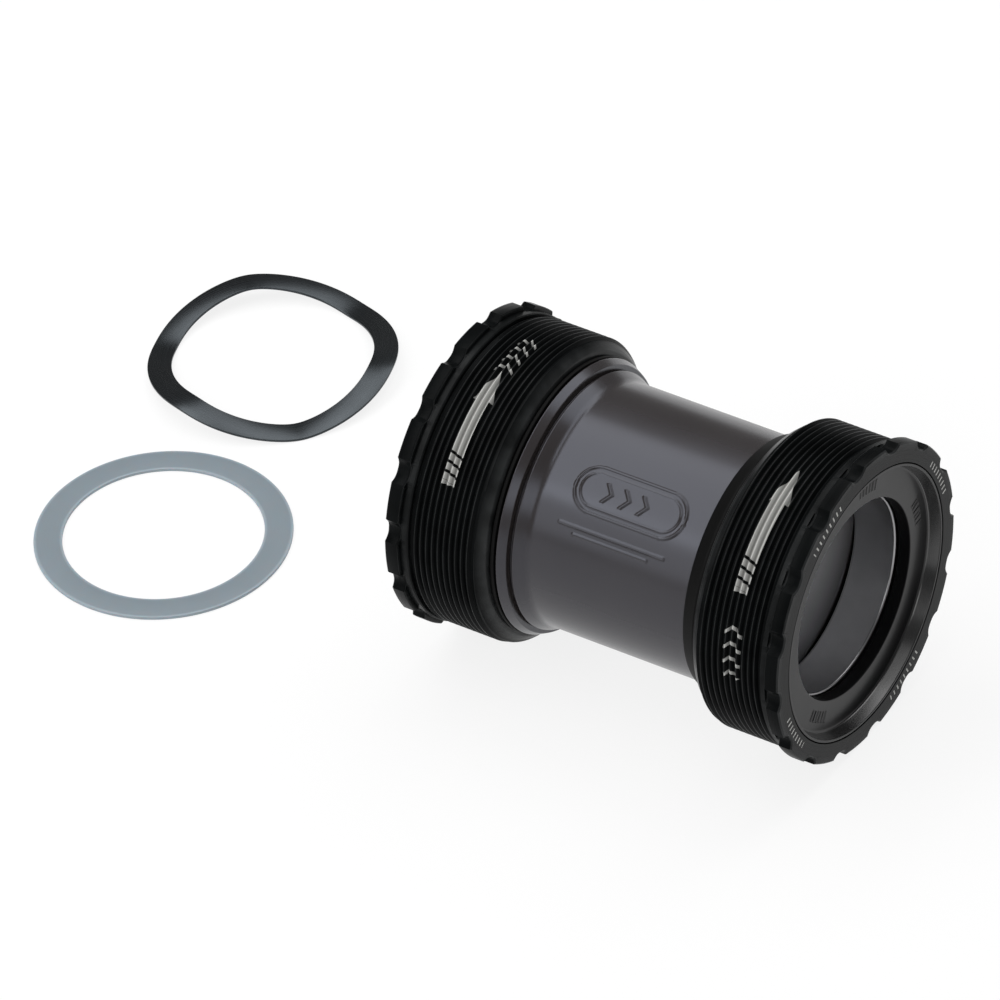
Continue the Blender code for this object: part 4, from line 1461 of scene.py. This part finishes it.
def spacer_finish(name, rgb, centre, middle_r, width):
    """Slightly clear grey plastic with moulding lines round the ring, and a pale rim of painted light.
    """
    material, nodes, shader, coordinates = new_material(name, rgb, roughness=0.42)
    vector = centred(nodes, coordinates, centre, FLAT_RING)
    grain = nodes.group("surface_grain", Vector=vector, Scale=STEEL_GRAIN)
    lines = nodes.group("turned_lines", Vector=vector, Spacing=0.22 * MM)["Height"]
    parts = nodes.add("ShaderNodeSeparateXYZ", {0: vector}).outputs
    off = nodes.math("ABSOLUTE", nodes.math("SUBTRACT", off_axis(nodes, parts), middle_r))
    rim = nodes.span(off, *(width / 2 - inset for inset in RIM_SPAN), 0.0, PAINTED_RIM_SHARE)
    faint = nodes.math("MULTIPLY_ADD", grain["Broad"], 0.4, nodes.math("MULTIPLY", lines, 0.6))
    base = tint(nodes, rgb, 0.97, 1.03, faint)
    # The rim is painted paler: painted light along the spacer's edges
    base = nodes.mix(rim, base, shade(rgb, PAINTED_RIM_LIGHT))
    nodes.plug(shader.inputs["Base Color"], base)
    nodes.plug(shader.inputs["Roughness"], nodes.span(lines, 0.3, 0.7, 0.34, 0.5))
    relief = nodes.math("MULTIPLY_ADD", grain["Fine"], 0.4, lines)
    add_bump(nodes, shader, relief, 0.002 * MM)
    shader.inputs["Subsurface Weight"].default_value = 0.25
    shader.inputs["Subsurface Scale"].default_value = 1.0 * MM
    return material


# Stage: the camera's sensor in millimetres, the floor's reach and the lights' base in metres, and up
SENSOR = 36.0
FLOOR_REACH = 30.0
LIGHTS_FROM = 0.02
UP = (0.0, 0.0, 1.0)

# Soft lights: width, depth, place from their base, and the way that the back of each one is turned
SOFTBOXES = {
    "overhead": (0.6, 1.9, (-0.575, -0.35, 1.0), UP),
    "back": (0.36, 0.7, (-0.28, 0.92, 1.0), UP),
    "right": (0.65, 1.35, (0.225, 0.925, 1.0), UP),
    "side": (0.2, 0.75, (0.07, -0.12, 1.0), UP),
    "front": (0.8, 0.8, (-0.54, -0.96, 0.48), (-0.54, -0.96, 0.48)),
    "fill": (0.4, 0.4, (0.46, -0.78, 0.47), (0.46, -0.78, 0.47)),
}


class BRACKET_OT_stage(bpy.types.Operator):
    """Set the camera, the pale floor and the soft light"""

    bl_idname = "bracket.stage"
    bl_label = "Stage"

    def execute(self, context):
        stage = settings().stage
        context.scene.view_settings.view_transform = "Standard"
        add_camera(context.scene, stage)
        add_floor(context.scene, stage)
        add_sky(context.scene, stage)
        target = Vector((stage.target_x, stage.target_y, LIGHTS_FROM))
        for name, (width, depth, place, facing) in SOFTBOXES.items():
            spot = target + Vector(place)
            power = getattr(stage, name)
            add_softbox(context.scene, name + "_softbox", power, width, depth, spot, Vector(facing))
        return {"FINISHED"}


def direction(azimuth, elevation):
    """Unit vector from the object towards the camera."""
    flat = math.cos(elevation)
    return Vector((math.sin(azimuth) * flat, -math.cos(azimuth) * flat, math.sin(elevation)))


def add_camera(scene, stage):
    """A long lens at the photograph's viewing angle."""
    back = direction(stage.azimuth, stage.elevation)
    right = Vector((math.cos(stage.azimuth), math.sin(stage.azimuth), 0.0))
    up = back.cross(right)
    across = math.cos(stage.roll) * right + math.sin(stage.roll) * up
    upward = math.cos(stage.roll) * up - math.sin(stage.roll) * right
    camera = bpy.data.cameras.new("camera")
    camera.lens = stage.lens
    camera.sensor_width = SENSOR
    holder = bpy.data.objects.new("camera", camera)
    scene.collection.objects.link(holder)
    place = Vector((stage.target_x, stage.target_y, 0.0)) + stage.distance * back
    facing = Matrix((across, upward, back)).transposed().to_4x4()
    holder.matrix_world = Matrix.Translation(place) @ facing
    scene.camera = holder


def seen_rays(nodes):
    """One for rays that show the stage itself, straight or in a reflection."""
    path = nodes.add("ShaderNodeLightPath").outputs
    seen = nodes.math("MAXIMUM", path["Is Camera Ray"], path["Is Glossy Ray"])
    return nodes.math("MAXIMUM", seen, path["Is Transmission Ray"])


def add_floor(scene, stage):
    """A plain pale floor that keeps the object's shadow."""
    mesh = bpy.data.meshes.new("floor")
    signs = ((-1, -1), (1, -1), (1, 1), (-1, 1))
    corners = [(x * FLOOR_REACH, y * FLOOR_REACH, 0) for x, y in signs]
    mesh.from_pydata(corners, [], [(0, 1, 2, 3)])
    floor = bpy.data.objects.new("floor", mesh)
    scene.collection.objects.link(floor)
    material = bpy.data.materials.new("floor")
    material.use_nodes = True
    nodes = Nodes(material.node_tree)
    shader = material.node_tree.nodes["Principled BSDF"]
    shader.inputs["Base Color"].default_value = (*stage.floor, 1.0)
    shader.inputs["Roughness"].default_value = 0.9
    shader.inputs["Specular IOR Level"].default_value = 0.1
    white = nodes.add("ShaderNodeEmission", {"Color": (1.0, 1.0, 1.0, 1.0), "Strength": 1.0})
    share = nodes.math("MULTIPLY", seen_rays(nodes), stage.floor_lift)
    mixed = nodes.add("ShaderNodeMixShader", {0: share, 1: shader.outputs[0], 2: white.outputs[0]})
    end = material.node_tree.nodes["Material Output"]
    nodes.plug(end.inputs["Surface"], mixed.outputs[0])
    mesh.materials.append(material)


def add_sky(scene, stage):
    """Even light from all round."""
    world = bpy.data.worlds.new("studio")
    world.use_nodes = True
    shader = world.node_tree.nodes["Background"]
    shader.inputs["Color"].default_value = (1.0, 1.0, 1.0, 1.0)
    shader.inputs["Strength"].default_value = stage.sky
    scene.world = world


def add_softbox(scene, name, power, width, depth, place, facing):
    """A large soft lamp, with its back turned the way given."""
    lamp = bpy.data.lights.new(name, "AREA")
    lamp.shape = "RECTANGLE"
    lamp.size = width
    lamp.size_y = depth
    lamp.energy = power
    holder = bpy.data.objects.new(name, lamp)
    scene.collection.objects.link(holder)
    holder.location = place
    holder.rotation_euler = facing.to_track_quat("Z", "Y").to_euler()


class BRACKET_PT_panel(bpy.types.Panel):
    """Steps that build the bottom bracket"""

    bl_idname = "BRACKET_PT_panel"
    bl_label = "Bottom Bracket"
    bl_space_type = "VIEW_3D"
    bl_region_type = "UI"
    bl_category = "Bracket"

    def draw(self, context):
        for step in STEPS:
            self.layout.operator(step.bl_idname)


STEPS = (
    BRACKET_OT_cups,
    BRACKET_OT_covers,
    BRACKET_OT_bearings,
    BRACKET_OT_sleeve,
    BRACKET_OT_seals,
    BRACKET_OT_rings,
    BRACKET_OT_stage,
)
CLASSES = (
    CupSettings,
    CoverSettings,
    BearingSettings,
    SleeveSettings,
    SealSettings,
    RingSettings,
    StageSettings,
    BracketSettings,
    *STEPS,
    BRACKET_PT_panel,
)


def register():
    """Add the classes and the settings to Blender."""
    for item in CLASSES:
        bpy.utils.register_class(item)
    bpy.types.Scene.bracket = bpy.props.PointerProperty(type=BracketSettings)


def unregister():
    """Take the classes and the settings out again."""
    del bpy.types.Scene.bracket
    for item in reversed(CLASSES):
        bpy.utils.unregister_class(item)


def main():
    """Build every piece and the stage."""
    register()
    make_groups()
    bpy.ops.bracket.cups()
    bpy.ops.bracket.covers()
    bpy.ops.bracket.bearings()
    bpy.ops.bracket.sleeve()
    bpy.ops.bracket.seals()
    bpy.ops.bracket.rings()
    bpy.ops.bracket.stage()


if __name__ == "__main__":
    main()
